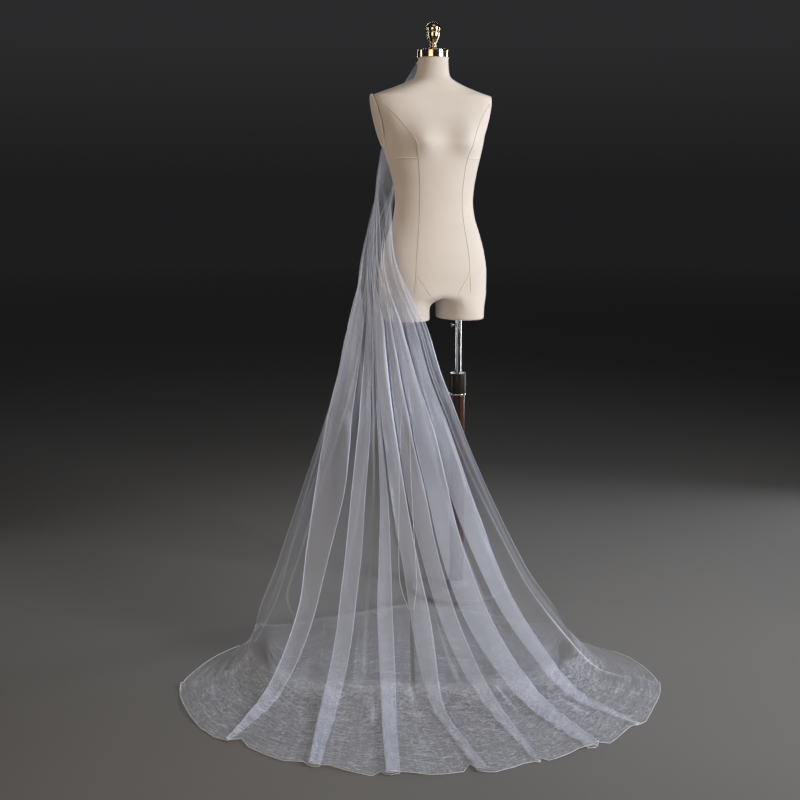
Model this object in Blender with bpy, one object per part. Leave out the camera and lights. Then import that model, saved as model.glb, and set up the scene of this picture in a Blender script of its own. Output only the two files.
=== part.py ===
"""A long tulle bridal veil, gathered behind the neck of a limbless dress form on a pole stand.

Metres, +Z up. The origin is the centre of the stand's underside, on the floor. The form faces -Y
and stands beside the pole, which carries it through its left leg. The veil passes the form's right
side and spreads as a train, whose middle line runs forward, TRAIN_TURN towards the form's right.
The veil is worked out in the train's own frame: ACROSS is to the left of that line as the form
sees it, OUT runs forward along it, and both start at the pole.
"""
import math

import bmesh
import bpy
import numpy as np

# Cloth and seams
WALL = 0.0012            # the veil's wall
SEAM_GAP = 0.0003        # between pieces that meet
TRAIN_TURN = 18.0        # degrees from straight ahead

# Veil: its folds and how they change down its length
GATHER_SHARE = 0.70      # of the room between two folds that a gather takes
FOLD_SHARE = 0.62        # and that an opened fold may take
SLIT_TURN = 176.0        # degrees from the front to each side edge, round the closed veil
TOP_TURN = 70.0          # the same at the gathered top
FAN_ACROSS = -0.15       # the point on the floor that bearings are taken from
FAN_OUT = 0.62
TALLEST = 0.6            # a fold's height in widths, at most
GATHER_HEIGHT = 0.0018   # wave height where the top is gathered
BUNDLE_HEIGHT = 0.0075   # wave height where the cloth passes the waist

# Heading and comb
HEADING_ROWS = (0.02, 0.11, 0.20)   # in the row coordinate of the veil's rings
HEADING_STEPS = 22
HEADING_THICK = 0.002
HEADING_EASE = 0.0008
COMB_WIDTH = 0.078
COMB_BAR = 0.006
COMB_TOOTH = 0.032
COMB_THICK = 0.0016
COMB_TEETH = 16

# Dress form
BODY_ACROSS = -0.085     # the form's middle, from the pole
BODY_COLUMNS = 40
CROTCH_Z = 0.964
STUB_BOTTOM_Z = 0.899
STUB_OFFSET = 0.0905     # from the form's middle to each leg's middle
STUB_HALF_WIDTH = 0.0715
STUB_HALF_DEPTH = 0.103
BUST_OUT = 0.021
BUST_ACROSS = 0.070
BUST_Z = 1.440
BUST_SPREAD = 0.046
ARM_PLATE_TALL = 0.136
ARM_PLATE_DEEP = 0.092
ARM_PLATE_THICK = 0.005
ARM_PLATE_Z = 1.508
ARM_PLATE_BACK = 0.012
ARM_PLATE_TILT = 9.0     # degrees, lower edge inwards
SOCKET_RADIUS = 0.021
SOCKET_HEIGHT = 0.006

# Stand
TUBE_RADIUS = 0.0102
COLLAR_RADIUS = 0.0262
COLLAR_TOP = 0.722
COLLAR_BOTTOM = 0.658
RING_HEIGHT = 0.006
POLE_RADIUS = 0.0232
BASE_RADIUS = 0.150
BASE_THICK = 0.014
FOOT_RADIUS = 0.042
FOOT_HEIGHT = 0.022
TURN_STEPS = 28

# The veil's large form, from the gathered top down to where it lands. z is the height of a ring,
# across and out its middle, facing the way its outer side looks in degrees from the train's line,
# half, front and back its half sizes along, outwards and inwards.
VEIL_RINGS = [
    # z, across, out, facing, half, front, back
    (1.690, -0.088, -0.043, -162.0, 0.044, 0.003, 0.003),
    (1.620, -0.123, -0.066, -158.0, 0.050, 0.012, 0.011),
    (1.550, -0.150, -0.095, -152.0, 0.055, 0.016, 0.015),
    (1.420, -0.196, -0.084, -130.0, 0.060, 0.017, 0.016),
    (1.300, -0.234, -0.010, -95.0, 0.062, 0.018, 0.020),
    (1.200, -0.245, 0.060, -70.0, 0.066, 0.018, 0.015),
    (1.100, -0.250, 0.122, -55.0, 0.078, 0.018, 0.014),
    (1.000, -0.238, 0.162, -46.0, 0.102, 0.024, 0.018),
    (0.905, -0.225, 0.180, -38.0, 0.130, 0.040, 0.030),
    (0.775, -0.2175, 0.205, -28.0, 0.150, 0.080, 0.075),
    (0.650, -0.212, 0.235, -20.0, 0.185, 0.120, 0.135),
    (0.555, -0.208, 0.260, -14.0, 0.214, 0.155, 0.165),
    (0.445, -0.203, 0.300, -10.0, 0.256, 0.190, 0.195),
    (0.290, -0.191, 0.355, -6.0, 0.319, 0.245, 0.235),
    (0.150, -0.176, 0.405, -3.0, 0.382, 0.310, 0.255),
    (0.055, -0.164, 0.440, -1.0, 0.442, 0.375, 0.265),
    (0.020, -0.157, 0.450, 0.0, 0.465, 0.403, 0.268),
    (0.004, -0.149, 0.460, 0.0, 0.485, 0.430, 0.270),
]
LANDED = len(VEIL_RINGS) - 1   # the row coordinate at which the cloth reaches the floor
HEM = LANDED + 1.0             # and the one of its hem
BLEND_FROM = LANDED - 3.0      # from here the rings turn into the line on which the cloth lands

# Where the cloth lands and where its hem lies: by bearing round the fan point in degrees, the reach
# of the landing line, the reach of the hem, and the tuck, which is the cloth that lies straight
# forward inside the veil. Where train turns into tuck the hem only touches the floor, and drop is
# the last of the wall there, which hangs straight down.
FLOOR_LINE = [
    # bearing, landing, hem, tuck, drop
    (-180.0, 0.452, 0.452, 0.600, 0.000),
    (-155.0, 0.390, 0.390, 0.470, 0.000),
    (-130.0, 0.430, 0.430, 0.270, 0.000),
    (-113.0, 0.476, 0.480, 0.004, 0.030),
    (-90.0, 0.468, 0.575, 0.000, 0.000),
    (-70.0, 0.455, 0.648, 0.000, 0.000),
    (-50.0, 0.405, 0.668, 0.000, 0.000),
    (-25.0, 0.315, 0.665, 0.000, 0.000),
    (0.0, 0.265, 0.666, 0.000, 0.000),
    (25.0, 0.315, 0.665, 0.000, 0.000),
    (50.0, 0.410, 0.684, 0.000, 0.000),
    (70.0, 0.470, 0.680, 0.000, 0.000),
    (90.0, 0.485, 0.627, 0.000, 0.000),
    (113.0, 0.478, 0.482, 0.004, 0.030),
    (130.0, 0.425, 0.425, 0.270, 0.000),
    (155.0, 0.425, 0.425, 0.470, 0.000),
    (180.0, 0.452, 0.452, 0.600, 0.000),
]

# The folds, from the left side edge round the front to the right side edge. turn is a fold's place
# on the rings below the hip, in degrees from their front, landing and hem its bearings on the
# floor. height is how far it stands out below the hip, and floor the same where it lies.
# kind: ripple is a plain wave, left and right are flat folds whose top layer opens to that side.
FOLDS = [
    # name, kind, turn, landing, hem, width, height, floor
    ("back_left_inner", "ripple", -152.0, -156.0, -156.0, 0.050, 0.012, 0.006),
    ("back_left", "ripple", -120.0, -132.0, -132.0, 0.055, 0.014, 0.005),
    ("side_left", "ripple", -88.0, -108.0, -108.0, 0.050, 0.012, 0.001),
    ("wing_left", "ripple", -63.0, -82.0, -75.0, 0.045, 0.012, 0.008),
    ("outer_left", "left", -40.0, -57.0, -42.3, 0.052, 0.020, 0.015),
    ("middle_left", "left", -18.5, -37.0, -20.5, 0.046, 0.018, 0.014),
    ("centre", "left", -3.5, -13.5, -4.5, 0.040, 0.018, 0.013),
    ("centre_right", "right", 9.5, 8.5, 13.2, 0.034, 0.017, 0.013),
    ("middle_right", "right", 22.0, 33.5, 25.5, 0.040, 0.017, 0.013),
    ("outer_right", "right", 33.0, 47.5, 39.0, 0.056, 0.020, 0.015),
    ("wing_right", "right", 50.0, 60.5, 54.0, 0.044, 0.017, 0.012),
    ("side_right", "ripple", 73.0, 80.0, 76.0, 0.045, 0.012, 0.008),
    ("back_right", "ripple", 100.0, 111.0, 111.0, 0.050, 0.012, 0.001),
    ("back_right_inner", "ripple", 142.0, 147.0, 147.0, 0.055, 0.014, 0.006),
]
EDGE_BEARING = 178.0     # of both side edges, on the floor behind
TUCK_FROM = 105.0        # the bearing beyond which the cloth lies forward inside the veil

# A flat fold's section: how far along in widths and how far out in heights, as folded and while it
# is still a gather.
FLAT_FOLD = [
    # folded along, folded out, gathered along, gathered out
    (-0.62, 0.00, -0.62, 0.00),
    (0.38, 0.02, -0.42, 0.16),
    (0.50, 0.19, -0.27, 0.40),
    (0.38, 0.38, -0.13, 0.65),
    (-0.38, 0.56, 0.01, 0.86),
    (-0.50, 0.78, 0.16, 0.96),
    (-0.36, 1.00, 0.33, 0.88),
    (0.64, 0.50, 0.60, 0.20),
]

# A ripple's section
RIPPLE = [
    # along, out
    (-0.62, 0.00),
    (-0.28, 0.62),
    (0.00, 1.00),
    (0.28, 0.62),
    (0.62, 0.00),
]

# Rows of the wall, in the row coordinate of the rings above
VEIL_ROWS = [0, 0.5, 1, 1.5, 2, 2.7, 3.3, 4, 5, 6, 6.7, 7.4, 8, 8.7, 9.4, 10.2, 11.2, 12.2, 13.1,
             14, 14.8, 15.5, 16.15, 17, 17.15, 17.4, 17.7, 18]

# Rings of the form's body: z, half sizes, how far the middle lies back, and how square they are
BODY_RINGS = [
    # z, half_width, half_depth, back, squareness
    (1.704, 0.0450, 0.0460, -0.004, 2.0),
    (1.675, 0.0455, 0.0465, -0.002, 2.0),
    (1.648, 0.0470, 0.0490, 0.002, 2.0),
    (1.632, 0.0510, 0.0550, 0.006, 2.0),
    (1.621, 0.0640, 0.0620, 0.010, 2.1),
    (1.611, 0.0900, 0.0670, 0.014, 2.3),
    (1.599, 0.1250, 0.0710, 0.018, 2.6),
    (1.586, 0.1570, 0.0740, 0.020, 3.0),
    (1.572, 0.1750, 0.0790, 0.020, 3.4),
    (1.545, 0.1810, 0.0880, 0.018, 3.6),
    (1.500, 0.1760, 0.1000, 0.010, 3.3),
    (1.465, 0.1670, 0.1080, 0.002, 2.8),
    (1.440, 0.1590, 0.1100, -0.003, 2.4),
    (1.400, 0.1490, 0.1040, -0.006, 2.2),
    (1.350, 0.1360, 0.0930, -0.005, 2.1),
    (1.300, 0.1265, 0.0830, -0.004, 2.05),
    (1.260, 0.1245, 0.0805, -0.003, 2.0),
    (1.215, 0.1300, 0.0850, -0.003, 2.0),
    (1.160, 0.1480, 0.0950, -0.001, 2.0),
    (1.100, 0.1640, 0.1060, 0.002, 2.1),
    (1.040, 0.1730, 0.1130, 0.006, 2.1),
    (0.990, 0.1735, 0.1130, 0.008, 2.1),
]
BODY_ROW_STEP = 0.036    # about how far apart the body's rows lie
CAP_RISE = 0.011

# The finial on the neck cap: radius and height over the cap
FINIAL_PROFILE = [
    # radius, height
    (0.0120, 0.0000),
    (0.0120, 0.0040),
    (0.0088, 0.0070),
    (0.0088, 0.0120),
    (0.0112, 0.0150),
    (0.0112, 0.0180),
    (0.0090, 0.0210),
    (0.0130, 0.0270),
    (0.0190, 0.0360),
    (0.0222, 0.0460),
    (0.0222, 0.0500),
    (0.0204, 0.0520),
    (0.0204, 0.0545),
    (0.0228, 0.0565),
    (0.0232, 0.0620),
    (0.0210, 0.0700),
    (0.0150, 0.0765),
    (0.0070, 0.0795),
]


# ---------------------------------------------------------------- small tools

def ease(knots, values, at):
    """A smooth curve through a table's values that never overshoots them (monotone cubic)."""
    knots = np.asarray(knots, float)
    values = np.asarray(values, float)
    at = np.asarray(at, float)
    step = np.diff(knots)
    slope = np.diff(values) / step
    lean = np.zeros_like(values)
    lean[0], lean[-1] = slope[0], slope[-1]
    for i in range(1, len(knots) - 1):
        if slope[i - 1] * slope[i] > 0:
            w1 = 2 * step[i] + step[i - 1]
            w2 = step[i] + 2 * step[i - 1]
            lean[i] = (w1 + w2) / (w1 / slope[i - 1] + w2 / slope[i])
    k = np.clip(np.searchsorted(knots, at) - 1, 0, len(knots) - 2)
    u = np.clip((at - knots[k]) / step[k], 0, 1)
    start = (1 + 2 * u) * (1 - u) ** 2 * values[k] + u * (1 - u) ** 2 * step[k] * lean[k]
    end = u * u * (3 - 2 * u) * values[k + 1] + u * u * (u - 1) * step[k] * lean[k + 1]
    return start + end


def fade(low, high, at):
    """0 below low, 1 above high, and a smooth step between."""
    u = np.clip((np.asarray(at, float) - low) / (high - low), 0, 1)
    return u * u * (3 - 2 * u)


def column(table, index):
    return [row[index] for row in table]


def unit(vectors):
    return vectors / np.maximum(np.linalg.norm(vectors, axis=-1, keepdims=True), 1e-12)


def to_world(across, out, z):
    """From the train's frame to the part's."""
    turn = math.radians(TRAIN_TURN)
    x = across * math.cos(turn) - out * math.sin(turn)
    y = -across * math.sin(turn) - out * math.cos(turn)
    return np.stack([x, y, z], axis=-1)


# ---------------------------------------------------------------- the veil's form

def ring_at(level):
    """A ring of the large form: z, across, out, facing in radians, half, front and back."""
    index = np.arange(len(VEIL_RINGS))
    ring = [float(ease(index, column(VEIL_RINGS, i), min(level, LANDED))) for i in range(7)]
    ring[3] = math.radians(ring[3])
    return ring


def on_ring(ring, turn):
    """How far along and how far outwards of a ring's middle its points lie."""
    half, front, back = ring[4:]
    along = half * np.sin(turn)
    outwards = np.where(np.cos(turn) > 0, front, back) * np.cos(turn)
    return along, outwards


def fold_places(level):
    """Each fold's turn at a row, side edges first and last: evenly spread, then by the table."""
    count = len(FOLDS)
    marks = np.concatenate([[0.0], np.arange(count) + 0.5, [count]])
    side = TOP_TURN + (SLIT_TURN - TOP_TURN) * float(fade(0.1, 2.2, level))
    turns = np.radians(np.linspace(-side, side, 361))
    along, outwards = on_ring(ring_at(level), turns)
    length = np.concatenate([[0.0], np.cumsum(np.hypot(np.diff(along), np.diff(outwards)))])
    even = np.interp(marks / count * length[-1], length, turns)
    low = np.radians(np.concatenate([[-SLIT_TURN], column(FOLDS, 2), [SLIT_TURN]]))
    return marks, even + (low - even) * float(fade(5.0, 10.5, level))


def large_form(level, place):
    """The veil without its folds, at a row and at places along it counted in folds."""
    place = np.asarray(place, float)
    marks, turns = fold_places(level)
    turn = ease(marks, turns, place)
    landing_bearing, hem_bearing = [
        ease(marks, np.concatenate([[-EDGE_BEARING], column(FOLDS, i), [EDGE_BEARING]]), place)
        for i in (3, 4)]

    ring = ring_at(level)
    z, mid_a, mid_o, face = ring[:4]
    along, outwards = on_ring(ring, turn)
    across = mid_a + along * math.cos(face) + outwards * math.sin(face)
    out = mid_o - along * math.sin(face) + outwards * math.cos(face)

    bearings = column(FLOOR_LINE, 0)
    landing, tuck, drop = [
        ease(bearings, column(FLOOR_LINE, i), landing_bearing) for i in (1, 3, 4)]
    hem = ease(bearings, column(FLOOR_LINE, 2), hem_bearing)
    lying = max(level - LANDED, 0.0)
    near, far = np.radians(landing_bearing), np.radians(hem_bearing)
    floor_a = landing * np.sin(near) * (1 - lying) + hem * np.sin(far) * lying + FAN_ACROSS
    floor_o = landing * np.cos(near) * (1 - lying) + hem * np.cos(far) * lying + FAN_OUT
    floor_o = floor_o + tuck * lying
    settled = min(max(level - BLEND_FROM, 0.0) / (LANDED - BLEND_FROM), 1.0)
    across = across + (floor_a - across) * settled ** 1.4
    out = out + (floor_o - out) * settled ** 1.4
    z = z * max(1 - lying / 0.2, 0.0) ** 2
    height = z + drop * float(fade(BLEND_FROM, LANDED, level)) * (1 - lying) + WALL / 2
    return to_world(across, out, height)


def fold_height(bearing, height, floor, level):
    """How far a fold stands out at a row. Tucked cloth lands flat and ripples again beyond."""
    top = GATHER_HEIGHT + (BUNDLE_HEIGHT - GATHER_HEIGHT) * float(fade(1.3, 3.6, level))
    full = top + (height - top) * float(fade(5.5, 8.5, level))
    if abs(bearing) > TUCK_FROM:
        risen = floor * float(fade(LANDED, LANDED + 0.3, level))
        return full * (1 - float(fade(LANDED - 2.0, LANDED - 0.2, level))) + risen
    return full + (floor - full) * float(fade(LANDED - 0.5, LANDED + 0.4, level))


def fold_section(kind, opened):
    """A fold's points, along in widths and out in heights."""
    if kind == "ripple":
        return np.array(RIPPLE)
    shape = np.array(FLAT_FOLD)
    section = shape[:, 2:] * (1 - opened) + shape[:, :2] * opened
    if kind == "right":
        section = section[::-1] * [-1, 1]
    return section


def veil_row(level):
    """The middle of the wall along one row: every fold's points, and one between folds."""
    count = len(FOLDS)
    dense = np.linspace(0, count, count * 48 + 1)
    base = large_form(level, dense)
    nudge = 0.04
    above = large_form(max(level - nudge, 0.0), dense)
    below = large_form(min(level + nudge, HEM), dense)
    tangent = unit(np.gradient(base, axis=0))
    outward = unit(np.cross(below - above, tangent))
    length = np.concatenate([[0.0], np.cumsum(np.linalg.norm(np.diff(base, axis=0), axis=1))])
    middles = np.interp(np.arange(count) + 0.5, dense, length)
    bounds = np.concatenate([[0.0], (middles[1:] + middles[:-1]) / 2, [length[-1]]])

    opened = float(fade(7.0, 10.0, level))
    lying = float(fade(LANDED - 1.0, LANDED + 0.2, level))
    facing_up = unit(outward * (1 - lying) + np.array([0, 0, lying]))
    along, outs = [0.0], [0.0]
    for k, (name, kind, turn, bearing, hem, width, height, floor) in enumerate(FOLDS):
        room = 2 * min(middles[k] - bounds[k], bounds[k + 1] - middles[k])
        wide = (width ** -4 + (FOLD_SHARE * room) ** -4) ** -0.25
        reach = GATHER_SHARE * room * (1 - opened) + wide * opened
        section = fold_section(kind, opened)
        tall = min(fold_height(bearing, height, floor, level), TALLEST * reach)
        along.extend(middles[k] + section[:, 0] * reach)
        outs.extend(section[:, 1] * tall)
        if k + 1 < count:
            along.append(None)
            outs.append(0.0)
    for i, value in enumerate(along):
        if value is None:
            along[i] = (along[i - 1] + along[i + 1]) / 2
    along.append(length[-1])
    outs.append(0.0)
    along = np.array(along)
    outs = np.array(outs)
    spot = np.stack([np.interp(along, length, base[:, i]) for i in range(3)], axis=-1)
    facing = unit(np.stack([np.interp(along, length, facing_up[:, i]) for i in range(3)], axis=-1))
    points = spot + facing * outs[:, None]
    points[:, 2] = np.maximum(points[:, 2], WALL / 2)
    return points


def face_normals(grid):
    """Normals of a grid's cells, outwards on the veil."""
    a = grid[1:, 1:] - grid[:-1, :-1]
    b = grid[1:, :-1] - grid[:-1, 1:]
    return unit(np.cross(b, a))


def wall_sides(grid, wall):
    """The grid moved half a wall out and in, so that the wall keeps its thickness at each bend."""
    normals = face_normals(grid)
    rows, columns = grid.shape[:2]
    shift = np.zeros_like(grid)
    for i in range(rows):
        for j in range(columns):
            near = normals[max(i - 1, 0):i + 1, max(j - 1, 0):j + 1].reshape(-1, 3)
            mean = near.mean(axis=0)
            size = np.linalg.norm(mean)
            way = mean / max(size, 1e-6)
            square = max(float(np.min(near @ way)), 0.35)
            shift[i, j] = way * (wall / 2) / square
    outer, inner = grid + shift, grid - shift
    for side in (outer, inner):
        side[:, :, 2] = np.maximum(side[:, :, 2], 0.0)
    return outer, inner


def closed_wall(outer, inner):
    """Vertices and faces of a wall between two grids, closed along all four edges."""
    rows, columns = outer.shape[:2]
    size = rows * columns
    vertices = np.concatenate([outer.reshape(-1, 3), inner.reshape(-1, 3)])
    faces = []
    for i in range(rows - 1):
        for j in range(columns - 1):
            a = i * columns + j
            b, c, d = a + 1, a + 1 + columns, a + columns
            cut_ac = np.linalg.norm(vertices[a] - vertices[c])
            cut_bd = np.linalg.norm(vertices[b] - vertices[d])
            halves = [(a, c, b), (a, d, c)] if cut_ac < cut_bd else [(a, d, b), (b, d, c)]
            faces += halves
            faces += [tuple(size + v for v in reversed(half)) for half in halves]
    rim = [j for j in range(columns)]
    rim += [i * columns + columns - 1 for i in range(1, rows)]
    rim += [(rows - 1) * columns + j for j in range(columns - 2, -1, -1)]
    rim += [i * columns for i in range(rows - 2, 0, -1)]
    for a, b in zip(rim, rim[1:] + rim[:1]):
        faces += [(a, b, size + b), (a, size + b, size + a)]
    return vertices, faces


# ---------------------------------------------------------------- making objects

def finish(name, colour, roughness, metallic=0.0):
    """A plain material in a piece's colour."""
    material = bpy.data.materials.new(name)
    material.use_nodes = True
    shader = material.node_tree.nodes["Principled BSDF"]
    shader.inputs["Base Color"].default_value = (*colour, 1)
    shader.inputs["Roughness"].default_value = roughness
    shader.inputs["Metallic"].default_value = metallic
    return material


def add_mesh(name, vertices, faces, material, smooth=True, origin=(0, 0, 0)):
    """One closed piece as an object of its own, with its faces turned outwards."""
    mesh = bpy.data.meshes.new(name)
    mesh.from_pydata([tuple(v) for v in vertices], [], [tuple(f) for f in faces])
    work = bmesh.new()
    work.from_mesh(mesh)
    bmesh.ops.recalc_face_normals(work, faces=work.faces)
    work.to_mesh(mesh)
    work.free()
    mesh.materials.append(material)
    if smooth:
        mesh.shade_smooth()
        mesh.set_sharp_from_angle(angle=math.radians(40))
    piece = bpy.data.objects.new(name, mesh)
    piece.location = origin
    bpy.context.collection.objects.link(piece)
    return piece


def add_turned(name, profile, material, origin, steps=TURN_STEPS):
    """A piece turned round +Z from (radius, height) pairs, closed by flat ends."""
    vertices = []
    for radius, height in profile:
        for step in range(steps):
            angle = 2 * math.pi * step / steps
            vertices.append((radius * math.cos(angle), radius * math.sin(angle), height))
    faces = []
    for row in range(len(profile) - 1):
        for step in range(steps):
            a = row * steps + step
            b = row * steps + (step + 1) % steps
            faces.append((a, b, b + steps, a + steps))
    faces.append(tuple(range(steps))[::-1])
    faces.append(tuple(range((len(profile) - 1) * steps, len(profile) * steps)))
    return add_mesh(name, vertices, faces, material, origin=origin)


def make_veil(material):
    grid = np.stack([veil_row(level) for level in VEIL_ROWS])
    outer, inner = wall_sides(grid, WALL)
    vertices, faces = closed_wall(outer, inner)
    return add_mesh("veil_panel", vertices, faces, material), grid


def make_heading(material):
    """The satin binding outside the gathered top edge, made from the panel's own top row."""
    marks = np.linspace(0, len(FOLDS), HEADING_STEPS)
    proud = GATHER_HEIGHT + WALL / 2 + SEAM_GAP + HEADING_EASE
    rows = []
    for level in HEADING_ROWS:
        row = large_form(level, marks)
        down = large_form(level + 0.1, marks) - row
        outward = unit(np.cross(down, np.gradient(row, axis=0)))
        rows.append(row + outward * proud)
    inner = np.stack(rows)
    outer = inner + outward * HEADING_THICK
    vertices, faces = closed_wall(outer, inner)
    return add_mesh("veil_heading", vertices, faces, material, smooth=False)


def make_comb(material):
    """A plain comb behind the gathers: a bar with teeth that hang towards the nape."""
    middle = large_form(0.0, np.array([len(FOLDS) / 2]))[0]
    left, right = large_form(0.0, np.array([0.0, len(FOLDS)]))
    along = unit(right - left)
    inward = np.array([along[1], -along[0], 0.0])
    if inward[1] > 0:
        inward = -inward
    pitch = COMB_WIDTH / (COMB_TEETH - 0.5)
    tooth = pitch * 0.5
    outline = [(-COMB_WIDTH / 2, 0.0), (-COMB_WIDTH / 2, -COMB_BAR - COMB_TOOTH)]
    for i in range(COMB_TEETH):
        start = -COMB_WIDTH / 2 + i * pitch
        if i > 0:
            outline.append((start + tooth * 0.3, -COMB_BAR - COMB_TOOTH))
        outline.append((start + tooth * 0.7, -COMB_BAR - COMB_TOOTH))
        outline.append((start + tooth, -COMB_BAR))
        if i + 1 < COMB_TEETH:
            outline.append((start + pitch, -COMB_BAR))
    outline[-1] = (COMB_WIDTH / 2, -COMB_BAR)
    outline.append((COMB_WIDTH / 2, 0.0))
    start = middle + inward * (WALL / 2 + SEAM_GAP + 0.0004) - np.array([0, 0, 0.002])
    vertices = []
    for deep in (0.0, COMB_THICK):
        for s, z in outline:
            vertices.append(start + along * s + inward * deep + np.array([0, 0, z]))
    count = len(outline)
    faces = [tuple(range(count)), tuple(range(2 * count - 1, count - 1, -1))]
    for i in range(count):
        j = (i + 1) % count
        faces.append((j, i, i + count, j + count))
    return add_mesh("veil_comb", vertices, faces, material, smooth=False)


# ---------------------------------------------------------------- the dress form

def body_ring(z, columns):
    """One ring of the body, from its left side round the back, relative to the form's middle."""
    heights = [-row[0] for row in BODY_RINGS]
    wide, deep, back, square = [
        float(ease(heights, column(BODY_RINGS, i), -z)) for i in (1, 2, 3, 4)]
    angle = 2 * math.pi * np.arange(columns) / columns
    power = 2 / square
    x = wide * np.sign(np.cos(angle)) * np.abs(np.cos(angle)) ** power
    y = deep * np.sign(np.sin(angle)) * np.abs(np.sin(angle)) ** power
    for side in (-1, 1):
        near = ((x - side * BUST_ACROSS) ** 2 + (z - BUST_Z) ** 2) / BUST_SPREAD ** 2
        y = y - np.where(y < 0, BUST_OUT * np.exp(-near), 0) * np.clip(-y / deep, 0, 1)
    return np.stack([x, y + back, np.full(columns, z)], axis=-1)


def body_heights():
    """Rows of the body, closer where its outline turns."""
    rows = []
    for upper, lower in zip(BODY_RINGS, BODY_RINGS[1:]):
        steps = max(1, round((upper[0] - lower[0]) / BODY_ROW_STEP))
        rows += [upper[0] + (lower[0] - upper[0]) * i / steps for i in range(steps)]
    rows.append(BODY_RINGS[-1][0])
    return rows


def make_body(material):
    """Neck to hips in one skin that parts into two short legs."""
    columns = BODY_COLUMNS
    vertices, faces = [], []
    rows = body_heights()
    for z in rows:
        vertices.extend(body_ring(z, columns))
    for row in range(len(rows) - 1):
        for step in range(columns):
            a = row * columns + step
            b = row * columns + (step + 1) % columns
            faces.append((a, a + columns, b + columns, b))
    faces.append(tuple(range(columns)))

    hip = (len(rows) - 1) * columns
    back_mid, front_mid = columns // 4, 3 * columns // 4
    seat = 9
    saddle = []
    back_point = np.array(vertices[hip + back_mid])
    front_point = np.array(vertices[hip + front_mid])
    for i in range(1, seat + 1):
        u = i / (seat + 1)
        point = back_point + (front_point - back_point) * u
        arch = math.sin(math.pi * u) ** 0.35
        point[2] = point[2] + (CROTCH_Z - point[2]) * arch
        saddle.append(len(vertices))
        vertices.append(point)
    heights = [(CROTCH_Z - STUB_BOTTOM_Z) * f for f in (0.25, 0.6, 1.0)]
    for side in (1, -1):
        if side > 0:
            outer = [hip + (front_mid + i) % columns for i in range(columns // 2 + 1)]
            top = outer + saddle
        else:
            outer = [hip + back_mid + i for i in range(columns // 2 + 1)]
            top = outer + saddle[::-1]
        start = np.array([vertices[i] for i in top])
        centre = np.array([side * STUB_OFFSET, 0.006])
        bearing = np.arctan2((start[:, 1] - centre[1]) / STUB_HALF_DEPTH,
                             (start[:, 0] - centre[0]) / STUB_HALF_WIDTH)
        goal = np.stack([centre[0] + STUB_HALF_WIDTH * np.cos(bearing),
                         centre[1] + STUB_HALF_DEPTH * np.sin(bearing)], axis=-1)
        last = top
        for step, drop in enumerate(heights):
            share = fade(0.0, 1.0, [(step + 1) / len(heights)])[0] ** 0.8
            spots = start[:, :2] + (goal - start[:, :2]) * share
            z = CROTCH_Z - drop
            ring = list(range(len(vertices), len(vertices) + len(top)))
            for spot in spots:
                vertices.append(np.array([spot[0], spot[1], z]))
            for i in range(len(top)):
                j = (i + 1) % len(top)
                faces.append((last[i], ring[i], ring[j], last[j]))
            last = ring
        faces.append(tuple(last[::-1]))
    return add_mesh("form_body", vertices, faces, material, origin=(BODY_ACROSS, 0, 0))


def make_arm_plate(name, side, material):
    """A flat oval plate over the armhole, its lower edge tilted inwards."""
    steps = 32
    tilt = math.radians(ARM_PLATE_TILT)
    ring = body_ring(ARM_PLATE_Z, 4)
    reach = abs(ring[0][0]) + SEAM_GAP
    vertices = []
    for out, size in ((0.0, 0.985), (0.0012, 1.0), (ARM_PLATE_THICK - 0.001, 1.0),
                      (ARM_PLATE_THICK, 0.95)):
        for step in range(steps):
            angle = 2 * math.pi * step / steps
            deep = ARM_PLATE_DEEP / 2 * size * math.cos(angle)
            tall = ARM_PLATE_TALL / 2 * size * math.sin(angle)
            x = out * math.cos(tilt) + tall * math.sin(tilt)
            z = tall * math.cos(tilt) - out * math.sin(tilt)
            vertices.append((side * x, deep, z))
    faces = [tuple(range(steps)), tuple(range(3 * steps, 4 * steps))]
    for row in range(3):
        for step in range(steps):
            a = row * steps + step
            b = row * steps + (step + 1) % steps
            faces.append((a, b, b + steps, a + steps))
    place = (BODY_ACROSS + side * reach, ARM_PLATE_BACK, ARM_PLATE_Z)
    return add_mesh(name, vertices, faces, material, origin=place)


def make_neck_cap(material):
    """The brass cap on the neck, a little wider than it, with a rounded rim."""
    radius = BODY_RINGS[0][1] + 0.0022
    bottom = BODY_RINGS[0][0] + SEAM_GAP
    profile = [(radius - 0.002, 0.0), (radius, 0.0015), (radius, CAP_RISE - 0.003),
               (radius - 0.0015, CAP_RISE - 0.0008), (radius - 0.004, CAP_RISE)]
    place = (BODY_ACROSS, BODY_RINGS[0][3], bottom)
    return add_turned("neck_cap", profile, material, place, steps=32)


def make_finial(material):
    bottom = BODY_RINGS[0][0] + SEAM_GAP + CAP_RISE + SEAM_GAP
    place = (BODY_ACROSS, BODY_RINGS[0][3], bottom)
    return add_turned("finial", FINIAL_PROFILE, material, place, steps=20)


# ---------------------------------------------------------------- the stand

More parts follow.
